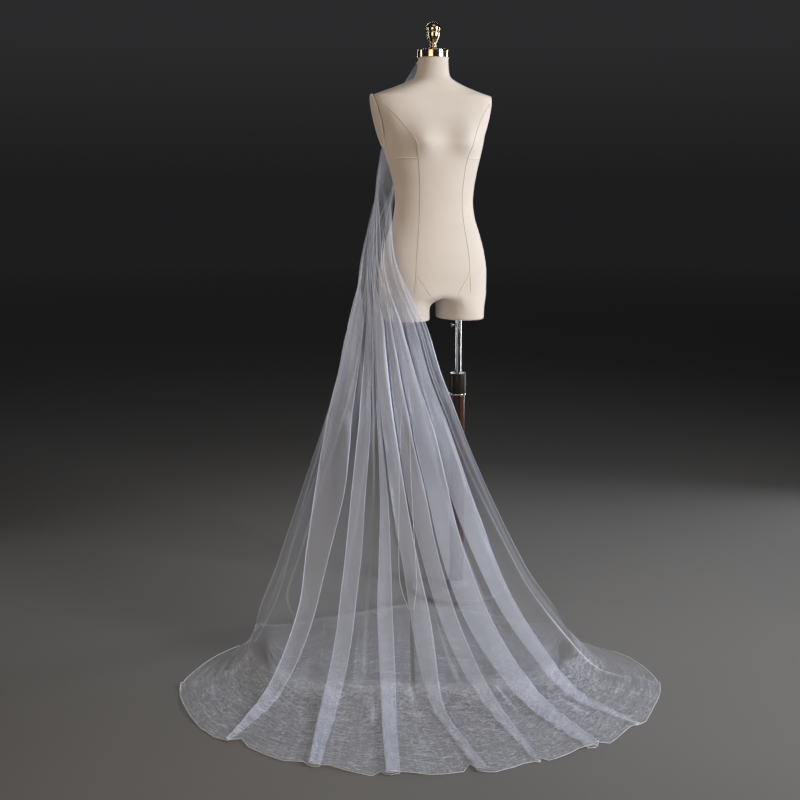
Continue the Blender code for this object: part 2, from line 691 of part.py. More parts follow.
def make_stand():
    chrome = finish("chrome", (0.75, 0.76, 0.78), 0.15, 1.0)
    dark = finish("dark_collar", (0.035, 0.022, 0.016), 0.35)
    wood = finish("dark_wood", (0.070, 0.024, 0.012), 0.35)
    plate = finish("base_plate", (0.10, 0.10, 0.105), 0.45, 0.2)
    foot_top = BASE_THICK + SEAM_GAP + FOOT_HEIGHT
    edge = 0.0015

    base = [(BASE_RADIUS - edge, 0.0), (BASE_RADIUS, edge), (BASE_RADIUS, BASE_THICK - 2 * edge),
            (BASE_RADIUS - 2 * edge, BASE_THICK)]
    add_turned("stand_base", base, plate, (0, 0, 0), steps=44)
    foot = [(FOOT_RADIUS, 0.0), (FOOT_RADIUS, 0.004), (FOOT_RADIUS - 0.008, 0.010),
            (POLE_RADIUS + 0.006, FOOT_HEIGHT - 0.003), (POLE_RADIUS + 0.004, FOOT_HEIGHT)]
    add_turned("stand_foot", foot, plate, (0, 0, BASE_THICK + SEAM_GAP))
    length = COLLAR_BOTTOM - RING_HEIGHT - 3 * SEAM_GAP - foot_top
    pole = [(POLE_RADIUS, 0.0), (POLE_RADIUS, length)]
    add_turned("pole_wood", pole, wood, (0, 0, foot_top + SEAM_GAP))
    ring = [(COLLAR_RADIUS - 0.001, 0.0), (COLLAR_RADIUS + 0.0012, 0.0015),
            (COLLAR_RADIUS + 0.0012, RING_HEIGHT - 0.0015), (COLLAR_RADIUS - 0.001, RING_HEIGHT)]
    add_turned("pole_ring", ring, chrome, (0, 0, COLLAR_BOTTOM - SEAM_GAP - RING_HEIGHT))
    tall = COLLAR_TOP - COLLAR_BOTTOM
    collar = [(COLLAR_RADIUS - edge, 0.0), (COLLAR_RADIUS, edge), (COLLAR_RADIUS, tall - edge),
              (COLLAR_RADIUS - edge, tall)]
    add_turned("pole_collar", collar, dark, (0, 0, COLLAR_BOTTOM))
    socket_bottom = STUB_BOTTOM_Z - SEAM_GAP - SOCKET_HEIGHT
    socket = [(SOCKET_RADIUS - edge, 0.0), (SOCKET_RADIUS, edge), (SOCKET_RADIUS, SOCKET_HEIGHT)]
    add_turned("tube_socket", socket, chrome, (0, 0, socket_bottom))
    tube_bottom = COLLAR_TOP + SEAM_GAP
    tube = [(TUBE_RADIUS, 0.0), (TUBE_RADIUS, socket_bottom - SEAM_GAP - tube_bottom)]
    add_turned("pole_tube", tube, chrome, (0, 0, tube_bottom))


def main():
    for piece in list(bpy.data.objects):
        bpy.data.objects.remove(piece)
    tulle = finish("tulle", (0.90, 0.91, 0.94), 0.6)
    satin = finish("satin_binding", (0.88, 0.88, 0.90), 0.35)
    comb = finish("comb_clear", (0.80, 0.80, 0.80), 0.2)
    linen = finish("cream_linen", (0.72, 0.66, 0.56), 0.85)
    brass = finish("polished_brass", (0.80, 0.58, 0.26), 0.18, 1.0)
    make_veil(tulle)
    make_heading(satin)
    make_comb(comb)
    make_body(linen)
    make_arm_plate("arm_plate_left", 1, linen)
    make_arm_plate("arm_plate_right", -1, linen)
    make_neck_cap(brass)
    make_finial(brass)
    make_stand()


main()
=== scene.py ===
"""A long tulle bridal veil, gathered behind the neck of a limbless dress form on a pole stand.

Metres, +Z up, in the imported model's frame: the origin is the centre of the stand's underside, the
form faces -Y, and the veil's train runs forward, TRAIN_TURN towards the form's right. The veil is
one sheet on the same large form as its solid, with the gathers, folds, creases and crinkles of
thin net. ACROSS and OUT are the train's own frame.
"""
import math
import bmesh
import bpy
import numpy as np
from mathutils import Euler, Matrix, Vector


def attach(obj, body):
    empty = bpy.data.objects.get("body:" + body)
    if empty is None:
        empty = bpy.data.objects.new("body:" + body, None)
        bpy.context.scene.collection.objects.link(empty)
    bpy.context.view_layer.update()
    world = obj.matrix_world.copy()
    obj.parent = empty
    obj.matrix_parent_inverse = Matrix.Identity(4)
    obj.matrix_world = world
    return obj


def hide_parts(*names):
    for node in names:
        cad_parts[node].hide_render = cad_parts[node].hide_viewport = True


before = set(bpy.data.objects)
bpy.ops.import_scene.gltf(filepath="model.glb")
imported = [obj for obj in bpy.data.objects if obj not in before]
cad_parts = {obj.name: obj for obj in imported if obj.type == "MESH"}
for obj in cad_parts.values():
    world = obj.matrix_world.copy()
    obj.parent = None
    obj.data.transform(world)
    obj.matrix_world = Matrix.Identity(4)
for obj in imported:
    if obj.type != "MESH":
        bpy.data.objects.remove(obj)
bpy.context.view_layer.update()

# Camera and light
CAMERA_PLACE = (-1.3719, -3.6236, 1.33)
CAMERA_TURN = (79.8, 0.0, -18.0)   # degrees
CAMERA_LENS = 55.26                # mm on a 36 mm sensor
FLOOR_REACH = 60.0
SKY = ((0.0120, 0.0122, 0.0128), (0.0235, 0.0238, 0.0250))   # at the horizon, and overhead
FAR_GLOW = (0.0066, 0.0068, 0.0072)   # painted glow of the far floor, about what it would send back of it
FAR_FROM, FAR_TO = 5.0, 16.0
LAMPS = [
    # name, place, aim, wide, tall, watts, spread in degrees, colour
    ("key", (1.95, -2.45, 1.80), (-0.12, -0.15, 1.15), 1.2, 1.5, 62, 140, (1.0, 0.99, 0.97)),
    ("strip_right", (2.30, 0.55, 1.25), (-0.10, -0.10, 1.2), 0.35, 2.0, 12, 110, (1.0, 1.0, 1.0)),
    ("strip_left", (-2.25, 1.15, 1.25), (-0.25, -0.30, 1.1), 0.35, 2.0, 4, 100, (1.0, 0.96, 0.9)),
    ("fill", (-2.4, -3.0, 1.55), (-0.20, -0.30, 1.2), 1.8, 1.5, 16, 120, (1.0, 0.74, 0.46)),
    ("top", (-0.4, -1.5, 3.2), (-0.35, -0.70, 0.0), 1.4, 1.4, 4, 120, (0.95, 0.97, 1.0)),
    ("back", (0.70, 3.10, 1.90), (-0.12, 0.00, 1.20), 0.9, 1.6, 3, 64, (1.0, 0.98, 0.95)),
]

# Cloth
WALL = 0.0012
SEAM_GAP = 0.0003
TRAIN_TURN = 18.0        # degrees from straight ahead
GATHER_SHARE = 0.70      # of the room between two folds that a gather takes
FOLD_SHARE = 0.88        # and that an opened fold may take
SLIT_TURN = 176.0        # degrees from the front to each side edge, round the closed veil
TOP_TURN = 70.0          # the same at the gathered top
FAN_ACROSS = -0.15       # the point on the floor that bearings are taken from
FAN_OUT = 0.62
TALLEST = 0.6            # a fold's height in widths, at most
GATHER_HEIGHT = 0.0018   # wave height where the top is gathered
BUNDLE_HEIGHT = 0.0075   # wave height where the cloth passes the waist
HANGING_STEP = 0.016     # between rows of the sheet where it hangs
LYING_STEP = 0.008       # and where it lies
CLOSING_ROWS = (0.1, 2.2)   # rows over which the open heading closes round the back
OPENING_ROWS = (5.8, 8.2)   # rows over which the gathers open into flat folds
NUDGE = 0.04             # of a row, to either side, for the way outwards
SETTLE_PASSES = 170      # that ease each fold's line where it turns onto the floor
UNEVEN_WAVES = 14        # that make up a soft uneven surface
PLEAT_SEED = 4
CRINKLE_SEED = 11
HEM_RADIUS = 0.0008
HEM_SIDES = (0.16, 0.74) # share of the rows along which it follows the side edges
HEM_GAP = 0.0004         # its points are no closer than this
NET_SHARES = {"open": 0.054, "ribbon": 0.118, "rim": 1.05, "crease": 0.45, "lying": 0.074}
CRINKLE_SHARES = (0.34, 0.07)   # what the crinkles add on the floor, in open cloth and in a ribbon

# Heading and comb
HEADING_ROWS = (0.02, 0.20)
HEADING_GRID = (13, 169)   # rows and columns of its points
HEADING_THICK = 0.002
HEADING_EASE = 0.0008
TUCKS = 44               # small waves along the binding
TUCK_HEIGHT = 0.00022
HEADING_INSET = 0.35     # how far short of the panel's corners it stops, counted in folds
COMB_WIDTH = 0.078
COMB_BAR = 0.006
COMB_TOOTH = 0.032
COMB_THICK = 0.0016
COMB_TEETH = 16

# Dress form
BODY_ACROSS = -0.085     # the form's middle, from the pole
BODY_COLUMNS = 160
BODY_STEP = 0.009
CROTCH_Z = 0.976
STUB_BOTTOM_Z = 0.899
STUB_OFFSET = 0.0905
STUB_HALF_WIDTH = 0.0715
STUB_HALF_DEPTH = 0.103
STUB_BACK = 0.006
SADDLE_POINTS = 39       # on the line between the legs
FORK_REACH = 0.055       # half width of the part between the legs that is smoothed
FORK_FROM = STUB_BOTTOM_Z + 0.02
FORK_TO = 1.03
FORK_PASSES = 6
STUB_ROUND = 0.005       # the rounded lower edge
LEAN_FROM = 1.30         # above this height the form stands a little back and to its right
LEAN_TO = 1.42
LEAN_ACROSS = -0.0025
LEAN_BACK = 0.007
BUST_OUT = 0.027
BUST_ACROSS = 0.070
BUST_Z = 1.440
BUST_SPREAD = 0.044
BUST_ABOVE = 0.056
BUST_BELOW = 0.036
ARM_PLATE_TALL = 0.157
ARM_PLATE_DEEP = 0.066
ARM_PLATE_THICK = 0.005
ARM_PLATE_DOME = 0.006
ARM_PLATE_Z = 1.5045
ARM_PLATE_BACK = 0.012
ARM_PLATE_TILT = 14.0
ARM_PLATE_STEPS = 96
SHOULDER_Z = 1.576       # where the armhole ends and the shoulder's slope begins
CAP_RISE = 0.011
CAP_SKIRT = 0.013        # how far the cap reaches down over the neck
SEAM_RADIUS = 0.0013
SEAM_BESIDE = 0.0016     # from a seam's raised edge to the dark thread of painted shade beside it
SEAM_STEP = 0.008
SIDE_SEAM = (1.440, 0.995)       # from and down to these heights
BACK_SEAM = (1.70, 0.995)
BUST_DART = (0.079, 0.135)       # from and out to these distances from the form's middle
BUST_DART_Z = 1.392

# Stand
TUBE_RADIUS = 0.0102
COLLAR_RADIUS = 0.0262
COLLAR_TOP = 0.722
COLLAR_BOTTOM = 0.658
RING_HEIGHT = 0.006
POLE_RADIUS = 0.0232
BASE_RADIUS = 0.150
BASE_THICK = 0.014
FOOT_RADIUS = 0.042
FOOT_HEIGHT = 0.022
SOCKET_RADIUS = 0.021
SOCKET_HEIGHT = 0.006
TURN_STEPS = 96
SCREW_Z = 0.876
SCREW_REACH = 0.017
SCREW_HEAD = 0.0062

# The veil's large form, from the gathered top down to where it lands
VEIL_RINGS = [
    # z, across, out, facing, half, front, back
    (1.690, -0.088, -0.043, -162.0, 0.044, 0.003, 0.003),
    (1.620, -0.123, -0.066, -158.0, 0.050, 0.012, 0.011),
    (1.550, -0.150, -0.095, -152.0, 0.055, 0.016, 0.015),
    (1.420, -0.196, -0.084, -130.0, 0.060, 0.017, 0.018),
    (1.300, -0.234, -0.010, -95.0, 0.063, 0.018, 0.028),
    (1.200, -0.245, 0.060, -70.0, 0.067, 0.018, 0.019),
    (1.100, -0.250, 0.122, -55.0, 0.078, 0.018, 0.014),
    (1.000, -0.238, 0.162, -46.0, 0.102, 0.024, 0.018),
    (0.905, -0.225, 0.180, -38.0, 0.130, 0.040, 0.030),
    (0.775, -0.2175, 0.205, -28.0, 0.150, 0.080, 0.075),
    (0.650, -0.212, 0.235, -20.0, 0.185, 0.120, 0.135),
    (0.555, -0.208, 0.260, -14.0, 0.214, 0.155, 0.165),
    (0.445, -0.203, 0.300, -10.0, 0.256, 0.190, 0.195),
    (0.290, -0.191, 0.355, -6.0, 0.319, 0.245, 0.235),
    (0.150, -0.176, 0.405, -3.0, 0.382, 0.310, 0.255),
    (0.055, -0.164, 0.440, -1.0, 0.442, 0.375, 0.265),
    (0.020, -0.157, 0.450, 0.0, 0.465, 0.403, 0.268),
    (0.004, -0.149, 0.460, 0.0, 0.485, 0.430, 0.270),
]
LANDED = len(VEIL_RINGS) - 1
HEM = LANDED + 1.0
BLEND_FROM = LANDED - 3.0
GATHERED = [
    # row, how much denser the gathers make the net
    (0.0, 5.4), (2.4, 5.0), (3.5, 4.2), (4.4, 1.95), (5.5, 2.25), (6.5, 2.50), (7.3, 2.2),
    (8.0, 2.10), (9.0, 1.85), (10.5, 1.30), (12.0, 1.0), (HEM, 1.0),
]

# Where the cloth lands and where its hem lies, by bearing round the fan point
FLOOR_LINE = [
    # bearing, landing, hem, tuck, drop
    (-180.0, 0.452, 0.452, 0.710, 0.000),
    (-155.0, 0.390, 0.390, 0.610, 0.000),
    (-130.0, 0.430, 0.430, 0.500, 0.000),
    (-120.0, 0.458, 0.460, 0.300, 0.012),
    (-113.0, 0.476, 0.480, 0.030, 0.030),
    (-90.0, 0.468, 0.575, 0.000, 0.000),
    (-70.0, 0.455, 0.648, 0.000, 0.000),
    (-50.0, 0.405, 0.668, 0.000, 0.000),
    (-25.0, 0.315, 0.665, 0.000, 0.000),
    (0.0, 0.265, 0.666, 0.000, 0.000),
    (25.0, 0.315, 0.665, 0.000, 0.000),
    (50.0, 0.410, 0.684, 0.000, 0.000),
    (70.0, 0.470, 0.680, 0.000, 0.000),
    (90.0, 0.485, 0.627, 0.000, 0.000),
    (113.0, 0.478, 0.482, 0.030, 0.030),
    (120.0, 0.460, 0.462, 0.300, 0.012),
    (130.0, 0.425, 0.425, 0.500, 0.000),
    (155.0, 0.425, 0.425, 0.640, 0.000),
    (180.0, 0.452, 0.452, 0.710, 0.000),
]

# The folds, from the left side edge round the front to the right side edge
FOLDS = [
    # name, kind, turn, landing, hem, width, height, floor
    ("back_left_inner", "ripple", -152.0, -156.0, -156.0, 0.050, 0.012, 0.006),
    ("back_left", "ripple", -120.0, -132.0, -132.0, 0.055, 0.014, 0.005),
    ("side_left", "ripple", -88.0, -108.0, -108.0, 0.050, 0.012, 0.001),
    ("wing_left", "ripple", -63.0, -82.0, -75.0, 0.045, 0.012, 0.008),
    ("outer_left", "left", -40.0, -57.0, -42.3, 0.052, 0.020, 0.015),
    ("middle_left", "left", -18.5, -37.0, -20.5, 0.046, 0.018, 0.014),
    ("centre", "left", -3.5, -13.5, -4.5, 0.040, 0.018, 0.013),
    ("centre_right", "right", 9.5, 8.5, 13.2, 0.034, 0.017, 0.013),
    ("middle_right", "right", 22.0, 33.5, 25.5, 0.040, 0.017, 0.013),
    ("outer_right", "right", 33.0, 47.5, 39.0, 0.056, 0.020, 0.015),
    ("wing_right", "right", 50.0, 60.5, 54.0, 0.044, 0.017, 0.012),
    ("side_right", "ripple", 73.0, 80.0, 76.0, 0.045, 0.012, 0.008),
    ("back_right", "ripple", 100.0, 111.0, 111.0, 0.050, 0.012, 0.001),
    ("back_right_inner", "ripple", 142.0, 147.0, 147.0, 0.055, 0.014, 0.006),
]
EDGE_BEARING = 179.3
BACK_CLEAR = 0.0015        # between the net and the cover where it lies on the shoulder blade
BACK_REACH = 0.012         # how far outside the cover it is still drawn in
FLOOR_CLEAR = 0.0006       # between the net and the floor, at least
TUCK_FROM = 105.0

# The flat folds' places round the veil and their widths down the skirt, at these rows
PATH_ROWS = (7.0, 8.0, 9.0, 10.0, 11.0, 12.0, 13.0, 14.0, 15.0)
FOLD_PATHS = {
    # name: (turns, widths)
    "outer_left": ((-52.0, -49.0, -47.0, -45.4, -40.3, -37.6, -39.4, -40.4, -41.0),
                   (0.060, 0.090, 0.105, 0.117, 0.106, 0.099, 0.076, 0.050, 0.052)),
    "middle_left": ((-19.0, -16.0, -11.5, -10.5, -12.9, -15.2, -18.0, -21.2, -21.5),
                    (0.012, 0.014, 0.021, 0.030, 0.036, 0.039, 0.044, 0.044, 0.040)),
    "centre": ((-7.0, -4.5, 0.6, 2.4, 2.0, 1.5, -1.6, -4.9, -6.0),
               (0.008, 0.008, 0.008, 0.010, 0.013, 0.021, 0.032, 0.041, 0.042)),
    "centre_right": ((3.5, 4.0, 8.1, 10.3, 10.6, 10.5, 10.5, 9.6, 8.0),
                     (0.040, 0.042, 0.044, 0.041, 0.040, 0.044, 0.043, 0.052, 0.050)),
    "middle_right": ((19.0, 19.0, 23.8, 23.6, 22.3, 21.9, 21.0, 20.8, 19.0),
                     (0.022, 0.022, 0.031, 0.042, 0.045, 0.054, 0.046, 0.044, 0.044)),
    "outer_right": ((34.0, 33.0, 39.4, 40.5, 38.8, 36.4, 33.0, 33.2, 31.0),
                    (0.036, 0.037, 0.041, 0.056, 0.069, 0.067, 0.072, 0.074, 0.069)),
    "wing_right": ((59.0, 59.5, 64.0, 62.5, 58.7, 54.2, 52.3, 51.3, 49.0),
                   (0.042, 0.046, 0.054, 0.056, 0.058, 0.068, 0.064, 0.057, 0.055)),
}

# How a flat fold changes as it lies: its width half way to the hem and at the hem, and how far its
# layers still shine there, each as a share
LYING_FOLDS = {
    # name: (half_way, at_hem, shine)
    "outer_left": (0.50, 0.20, 0.45),
    "middle_left": (0.78, 0.62, 0.35),
    "centre": (0.90, 0.92, 0.85),
    "centre_right": (0.55, 0.85, 0.50),
    "middle_right": (0.52, 0.28, 0.20),
    "outer_right": (0.80, 0.60, 0.60),
    "wing_right": (0.50, 0.22, 0.40),
}
HANGING_SHINE = {"outer_left": 0.8, "middle_left": 0.55, "centre": 0.45, "centre_right": 1.5,
                 "middle_right": 0.85, "outer_right": 0.75, "wing_right": 0.35}
HEM_STEP = 0.014         # how far a flat fold's end stands out from the hem beside it
HEM_NOTCH = 0.030        # how far the hem is drawn in at one side of a fold
HEM_NOTCHES = {"outer_left": 0.10, "middle_left": -0.12, "centre": -0.13, "centre_right": -0.12,
               "middle_right": 0.10, "outer_right": 0.14}   # where, counted in folds

# Long soft creases of the net, each a ridge that starts at one row and runs out at another
CREASES = [
    # place, drift, start, end, width, height, shine
    (3.50, -0.12, 12.5, 17.2, 0.040, 0.0020, 0.22),
    (2.75, 0.15, 16.6, 17.9, 0.050, 0.0030, 0.60),
    (3.85, -0.20, 16.8, 17.8, 0.045, 0.0026, 0.55),
    (4.02, 0.05, 8.5, 13.5, 0.030, 0.0020, 0.55),
    (4.93, 0.10, 8.0, 12.5, 0.028, 0.0020, 0.60),
    (5.02, -0.16, 13.5, 17.4, 0.035, 0.0022, 0.40),
    (5.10, 0.22, 17.2, 17.8, 0.040, 0.0026, 0.60),
    (5.95, 0.06, 8.2, 13.0, 0.028, 0.0020, 0.60),
    (6.05, -0.10, 12.0, 16.5, 0.032, 0.0020, 0.40),
    (6.12, 0.30, 16.9, 17.7, 0.045, 0.0030, 0.65),
    (6.98, 0.05, 8.0, 14.0, 0.028, 0.0022, 0.60),
    (7.05, -0.20, 16.8, 17.9, 0.045, 0.0030, 0.60),
    (7.95, -0.05, 8.3, 13.5, 0.028, 0.0020, 0.60),
    (8.02, 0.14, 13.0, 17.6, 0.034, 0.0024, 0.50),
    (8.95, 0.05, 8.5, 14.5, 0.028, 0.0022, 0.60),
    (9.04, -0.16, 15.5, 17.8, 0.036, 0.0026, 0.55),
    (9.93, 0.08, 9.0, 15.5, 0.030, 0.0022, 0.55),
    (10.08, 0.18, 16.8, 17.7, 0.040, 0.0026, 0.55),
    (10.93, -0.06, 9.0, 15.0, 0.034, 0.0024, 0.50),
    (11.02, 0.16, 16.6, 17.9, 0.045, 0.0030, 0.65),
    (11.62, -0.10, 11.0, 17.9, 0.045, 0.0030, 0.35),
    (12.05, 0.12, 16.9, 17.8, 0.050, 0.0028, 0.50),
    (2.05, -0.12, 10.0, 16.0, 0.050, 0.0026, 0.20),
    (12.70, 0.10, 10.0, 16.0, 0.050, 0.0026, 0.12),
    (13.10, -0.10, 9.5, 15.0, 0.050, 0.0024, 0.12),
    (2.93, 0.12, 7.5, 17.7, 0.200, 0.0010, 0.22),
    (12.45, -0.60, 7.5, 17.7, 0.200, 0.0010, 0.22),
    (12.50, 0.00, 6.6, 16.6, 0.050, 0.0010, 0.95),
    (11.52, 0.00, 13.6, 18.4, 0.045, 0.0010, 0.80),
    (2.62, 0.00, 6.2, 9.4, 0.045, 0.0010, 0.70),
    (3.92, 0.00, 7.8, 10.6, 0.040, 0.0010, 0.70),
    (2.53, 0.00, 9.6, 17.6, 0.045, 0.0010, 0.95),
    (6.02, 0.00, 6.5, 13.5, 0.060, 0.0015, 0.90),
]

# A flat fold's section, with how much each point belongs to the layered ribbon and to its edges
FLAT_FOLD = [
    # folded along, folded out, gathered along, gathered out, ribbon, rim
    (-0.56, 0.00, -0.62, 0.00, 0.0, 0.0),
    (0.38, 0.02, -0.42, 0.16, 0.70, 0.0),
    (0.50, 0.19, -0.27, 0.40, 0.65, 0.75),
    (0.38, 0.38, -0.13, 0.65, 0.70, 0.0),
    (-0.38, 0.56, 0.01, 0.86, 1.15, 0.0),
    (-0.50, 0.78, 0.16, 0.96, 1.30, 1.0),
    (-0.36, 1.00, 0.33, 0.88, 1.15, 0.0),
    (0.57, 0.40, 0.60, 0.20, 0.0, 0.0),
]
FLAT_STEPS = [3, 3, 3, 4, 3, 3, 4]   # parts of each stretch of that section

# A ripple's section
RIPPLE = [
    # along, out, ribbon, rim
    (-0.62, 0.00, 0.0, 0.0),
    (-0.28, 0.62, 0.0, 0.0),
    (0.00, 1.00, 0.0, 0.1),
    (0.28, 0.62, 0.0, 0.0),
    (0.62, 0.00, 0.0, 0.0),
]
RIPPLE_STEP = 3
BETWEEN_STEP = 3
EDGE_STEP = 4            # beside the side edges

# Rings of the form's body
BODY_RINGS = [
    # z, half_width, half_depth, back, squareness
    (1.704, 0.0445, 0.0460, -0.004, 2.0),
    (1.675, 0.0462, 0.0475, -0.002, 2.0),
    (1.648, 0.0500, 0.0510, 0.002, 2.0),
    (1.633, 0.0575, 0.0560, 0.005, 2.0),
    (1.622, 0.0760, 0.0620, 0.009, 2.1),
    (1.611, 0.1010, 0.0670, 0.014, 2.3),
    (1.599, 0.1330, 0.0710, 0.018, 2.6),
    (1.589, 0.1610, 0.0740, 0.020, 3.0),
    (1.581, 0.1800, 0.0765, 0.020, 3.4),
    (1.570, 0.1830, 0.0800, 0.020, 3.6),
    (1.545, 0.1800, 0.0880, 0.018, 3.6),
    (1.500, 0.1682, 0.1000, 0.010, 3.3),
    (1.465, 0.1605, 0.1080, 0.002, 2.8),
    (1.440, 0.1570, 0.1100, -0.003, 2.4),
    (1.400, 0.1490, 0.1040, -0.006, 2.2),
    (1.350, 0.1360, 0.0930, -0.005, 2.1),
    (1.300, 0.1265, 0.0830, -0.004, 2.05),
    (1.260, 0.1245, 0.0805, -0.003, 2.0),
    (1.215, 0.1300, 0.0850, -0.003, 2.0),
    (1.160, 0.1480, 0.0950, -0.001, 2.0),
    (1.100, 0.1640, 0.1060, 0.002, 2.1),
    (1.040, 0.1730, 0.1130, 0.006, 2.1),
    (0.972, 0.1735, 0.1130, 0.008, 2.1),
]

# Seams of the cover: how far each lies from the form's middle at a height
PRINCESS_FRONT = [
    # z, across
    (1.556, 0.172), (1.544, 0.162), (1.532, 0.152), (1.520, 0.141), (1.505, 0.130),
    (1.488, 0.119), (1.473, 0.109), (1.458, 0.100), (1.444, 0.093), (1.426, 0.087),
    (1.409, 0.083), (1.389, 0.078), (1.342, 0.072), (1.292, 0.0685), (1.238, 0.069),
    (1.181, 0.074), (1.128, 0.081), (1.074, 0.0865), (1.052, 0.0870), (1.042, 0.0840),
    (1.030, 0.0770), (1.012, 0.0655), (0.994, 0.0545), (0.977, 0.0440),
]
PRINCESS_BACK = [
    # z, across
    (1.598, 0.070), (1.560, 0.078), (1.500, 0.082), (1.420, 0.078), (1.340, 0.068),
    (1.260, 0.060), (1.180, 0.068), (1.100, 0.080), (1.040, 0.086), (0.990, 0.088),
]

THIGH_SEAM = [
    # z, across
    (1.052, 0.0870), (1.036, 0.0880), (1.020, 0.0890), (1.004, 0.0905), (0.988, 0.0920),
]

FINIAL_PROFILE = [
    # radius, height over the cap
    (0.0120, 0.0000), (0.0120, 0.0040), (0.0098, 0.0060), (0.0098, 0.0090), (0.0114, 0.0110),
    (0.0114, 0.0140), (0.0098, 0.0160), (0.0098, 0.0190), (0.0120, 0.0235), (0.0150, 0.0290),
    (0.0180, 0.0350), (0.0194, 0.0430), (0.0196, 0.0490), (0.0184, 0.0512), (0.0184, 0.0532),
    (0.0206, 0.0552), (0.0216, 0.0610), (0.0210, 0.0680), (0.0172, 0.0745), (0.0092, 0.0788),
]


# ---------------------------------------------------------------- small tools

def ease(knots, values, at):
    """A smooth curve through a table's values that never overshoots them."""
    knots = np.asarray(knots, float)
    values = np.asarray(values, float)
    at = np.asarray(at, float)
    step = np.diff(knots)
    slope = np.diff(values) / step
    lean = np.zeros_like(values)
    lean[0], lean[-1] = slope[0], slope[-1]
    for i in range(1, len(knots) - 1):
        if slope[i - 1] * slope[i] > 0:
            w1 = 2 * step[i] + step[i - 1]
            w2 = step[i] + 2 * step[i - 1]
            lean[i] = (w1 + w2) / (w1 / slope[i - 1] + w2 / slope[i])
    k = np.clip(np.searchsorted(knots, at) - 1, 0, len(knots) - 2)
    u = np.clip((at - knots[k]) / step[k], 0, 1)
    start = (1 + 2 * u) * (1 - u) ** 2 * values[k] + u * (1 - u) ** 2 * step[k] * lean[k]
    end = u * u * (3 - 2 * u) * values[k + 1] + u * u * (u - 1) * step[k] * lean[k + 1]
    return start + end


def fade(low, high, at):
    """0 below low, 1 above high, and a smooth step between."""
    u = np.clip((np.asarray(at, float) - low) / (high - low), 0, 1)
    return u * u * (3 - 2 * u)


def column(table, index):
    """One column of a table."""
    return [row[index] for row in table]


def run_length(points):
    """How far along a line of points each one lies."""
    return np.concatenate([[0.0], np.cumsum(np.linalg.norm(np.diff(points, axis=0), axis=1))])


def around(steps):
    """Angles once round a circle."""
    return 2 * math.pi * np.arange(steps) / steps


def new_mesh(name, vertices, edges=(), faces=()):
    """A mesh that is in no object yet."""
    mesh = bpy.data.meshes.new(name)
    mesh.from_pydata([tuple(v) for v in vertices], edges, faces)
    return mesh


def linked(name, data):
    """A new object in the scene."""
    piece = bpy.data.objects.new(name, data)
    bpy.context.collection.objects.link(piece)
    return piece


def unit(vectors):
    """The same directions with a length of 1."""
    return vectors / np.maximum(np.linalg.norm(vectors, axis=-1, keepdims=True), 1e-12)


def to_world(across, out, z):
    """From the train's frame to the part's."""
    turn = math.radians(TRAIN_TURN)
    x = across * math.cos(turn) - out * math.sin(turn)
    y = -across * math.sin(turn) - out * math.cos(turn)
    return np.stack([x, y, z], axis=-1)


def uneven(u, v, scale_u, scale_v, seed):
    """A soft uneven surface, about -1 to 1, from a few waves of mixed direction and length."""
    dice = np.random.default_rng(seed)
    total = np.zeros(np.broadcast(u, v).shape)
    for _ in range(UNEVEN_WAVES):
        angle = dice.uniform(0, math.pi)
        size = dice.uniform(0.5, 1.7)
        phase = dice.uniform(0, 2 * math.pi)
        total += np.sin(2 * math.pi * size * (u * scale_u * math.cos(angle)
                                              + v * scale_v * math.sin(angle)) + phase)
    return total / math.sqrt(UNEVEN_WAVES)


def band(rows, columns, closed=True):
    """The faces between rows of points, each row closed into a ring or open."""
    return [(row + a, row + b, row + columns + b, row + columns + a)
            for row in range(0, (rows - 1) * columns, columns)
            for a, b in zip(range(columns), [*range(1, columns), *([0] if closed else [])])]


def capped(rows, columns):
    """The faces of rings one after another, with a flat face over each end."""
    last = (rows - 1) * columns
    return [*band(rows, columns), tuple(range(columns))[::-1], tuple(range(last, last + columns))]


# ---------------------------------------------------------------- finishes

def new_material(name, colour, roughness, metallic=0.0, **sockets):
    """A material with its own Principled shader. Returns the material, its tree and the shader."""
    material = bpy.data.materials.new(name)
    material.use_nodes = True
    tree = material.node_tree
    shader = tree.nodes["Principled BSDF"]
    shader.inputs["Base Color"].default_value = (*colour, 1)
    shader.inputs["Roughness"].default_value = roughness
    shader.inputs["Metallic"].default_value = metallic
    for socket, value in sockets.items():
        shader.inputs[socket.replace("_", " ")].default_value = value
    return material, tree, shader


def add(tree, kind, inputs=(), **settings):
    """A node with its settings and inputs; an input that is a socket is linked."""
    node = tree.nodes.new(kind)
    for name, value in settings.items():
        setattr(node, name, value)
    for key, value in dict(inputs).items():
        socket = node.inputs[key]
        if isinstance(value, bpy.types.NodeSocket):
            tree.links.new(value, socket)
        else:
            socket.default_value = value
    return node


def maths(tree, operation, a, b=0.0, clamp=False):
    """One Math node's result."""
    return add(tree, "ShaderNodeMath", {0: a, 1: b}, operation=operation,
               use_clamp=clamp).outputs[0]


def spread(tree, value, low, high, to_low, to_high):
    """A value mapped from one range to another, held at its ends."""
    node = add(tree, "ShaderNodeMapRange", {"Value": value, "From Min": low, "From Max": high,
                                            "To Min": to_low, "To Max": to_high})
    return node.outputs["Result"]


def tint(tree, factor, colour_a, colour_b):
    """A colour between two, by a factor."""
    node = add(tree, "ShaderNodeMix", {0: factor, 6: (*colour_a, 1), 7: (*colour_b, 1)},
               data_type="RGBA")
    return node.outputs[2]


def object_place(tree, scale=(1, 1, 1)):
    """The piece's own coordinates in metres, scaled for a pattern."""
    coordinates = add(tree, "ShaderNodeTexCoord")
    return add(tree, "ShaderNodeMapping", {"Vector": coordinates.outputs["Object"],
                                           "Scale": scale}).outputs[0]


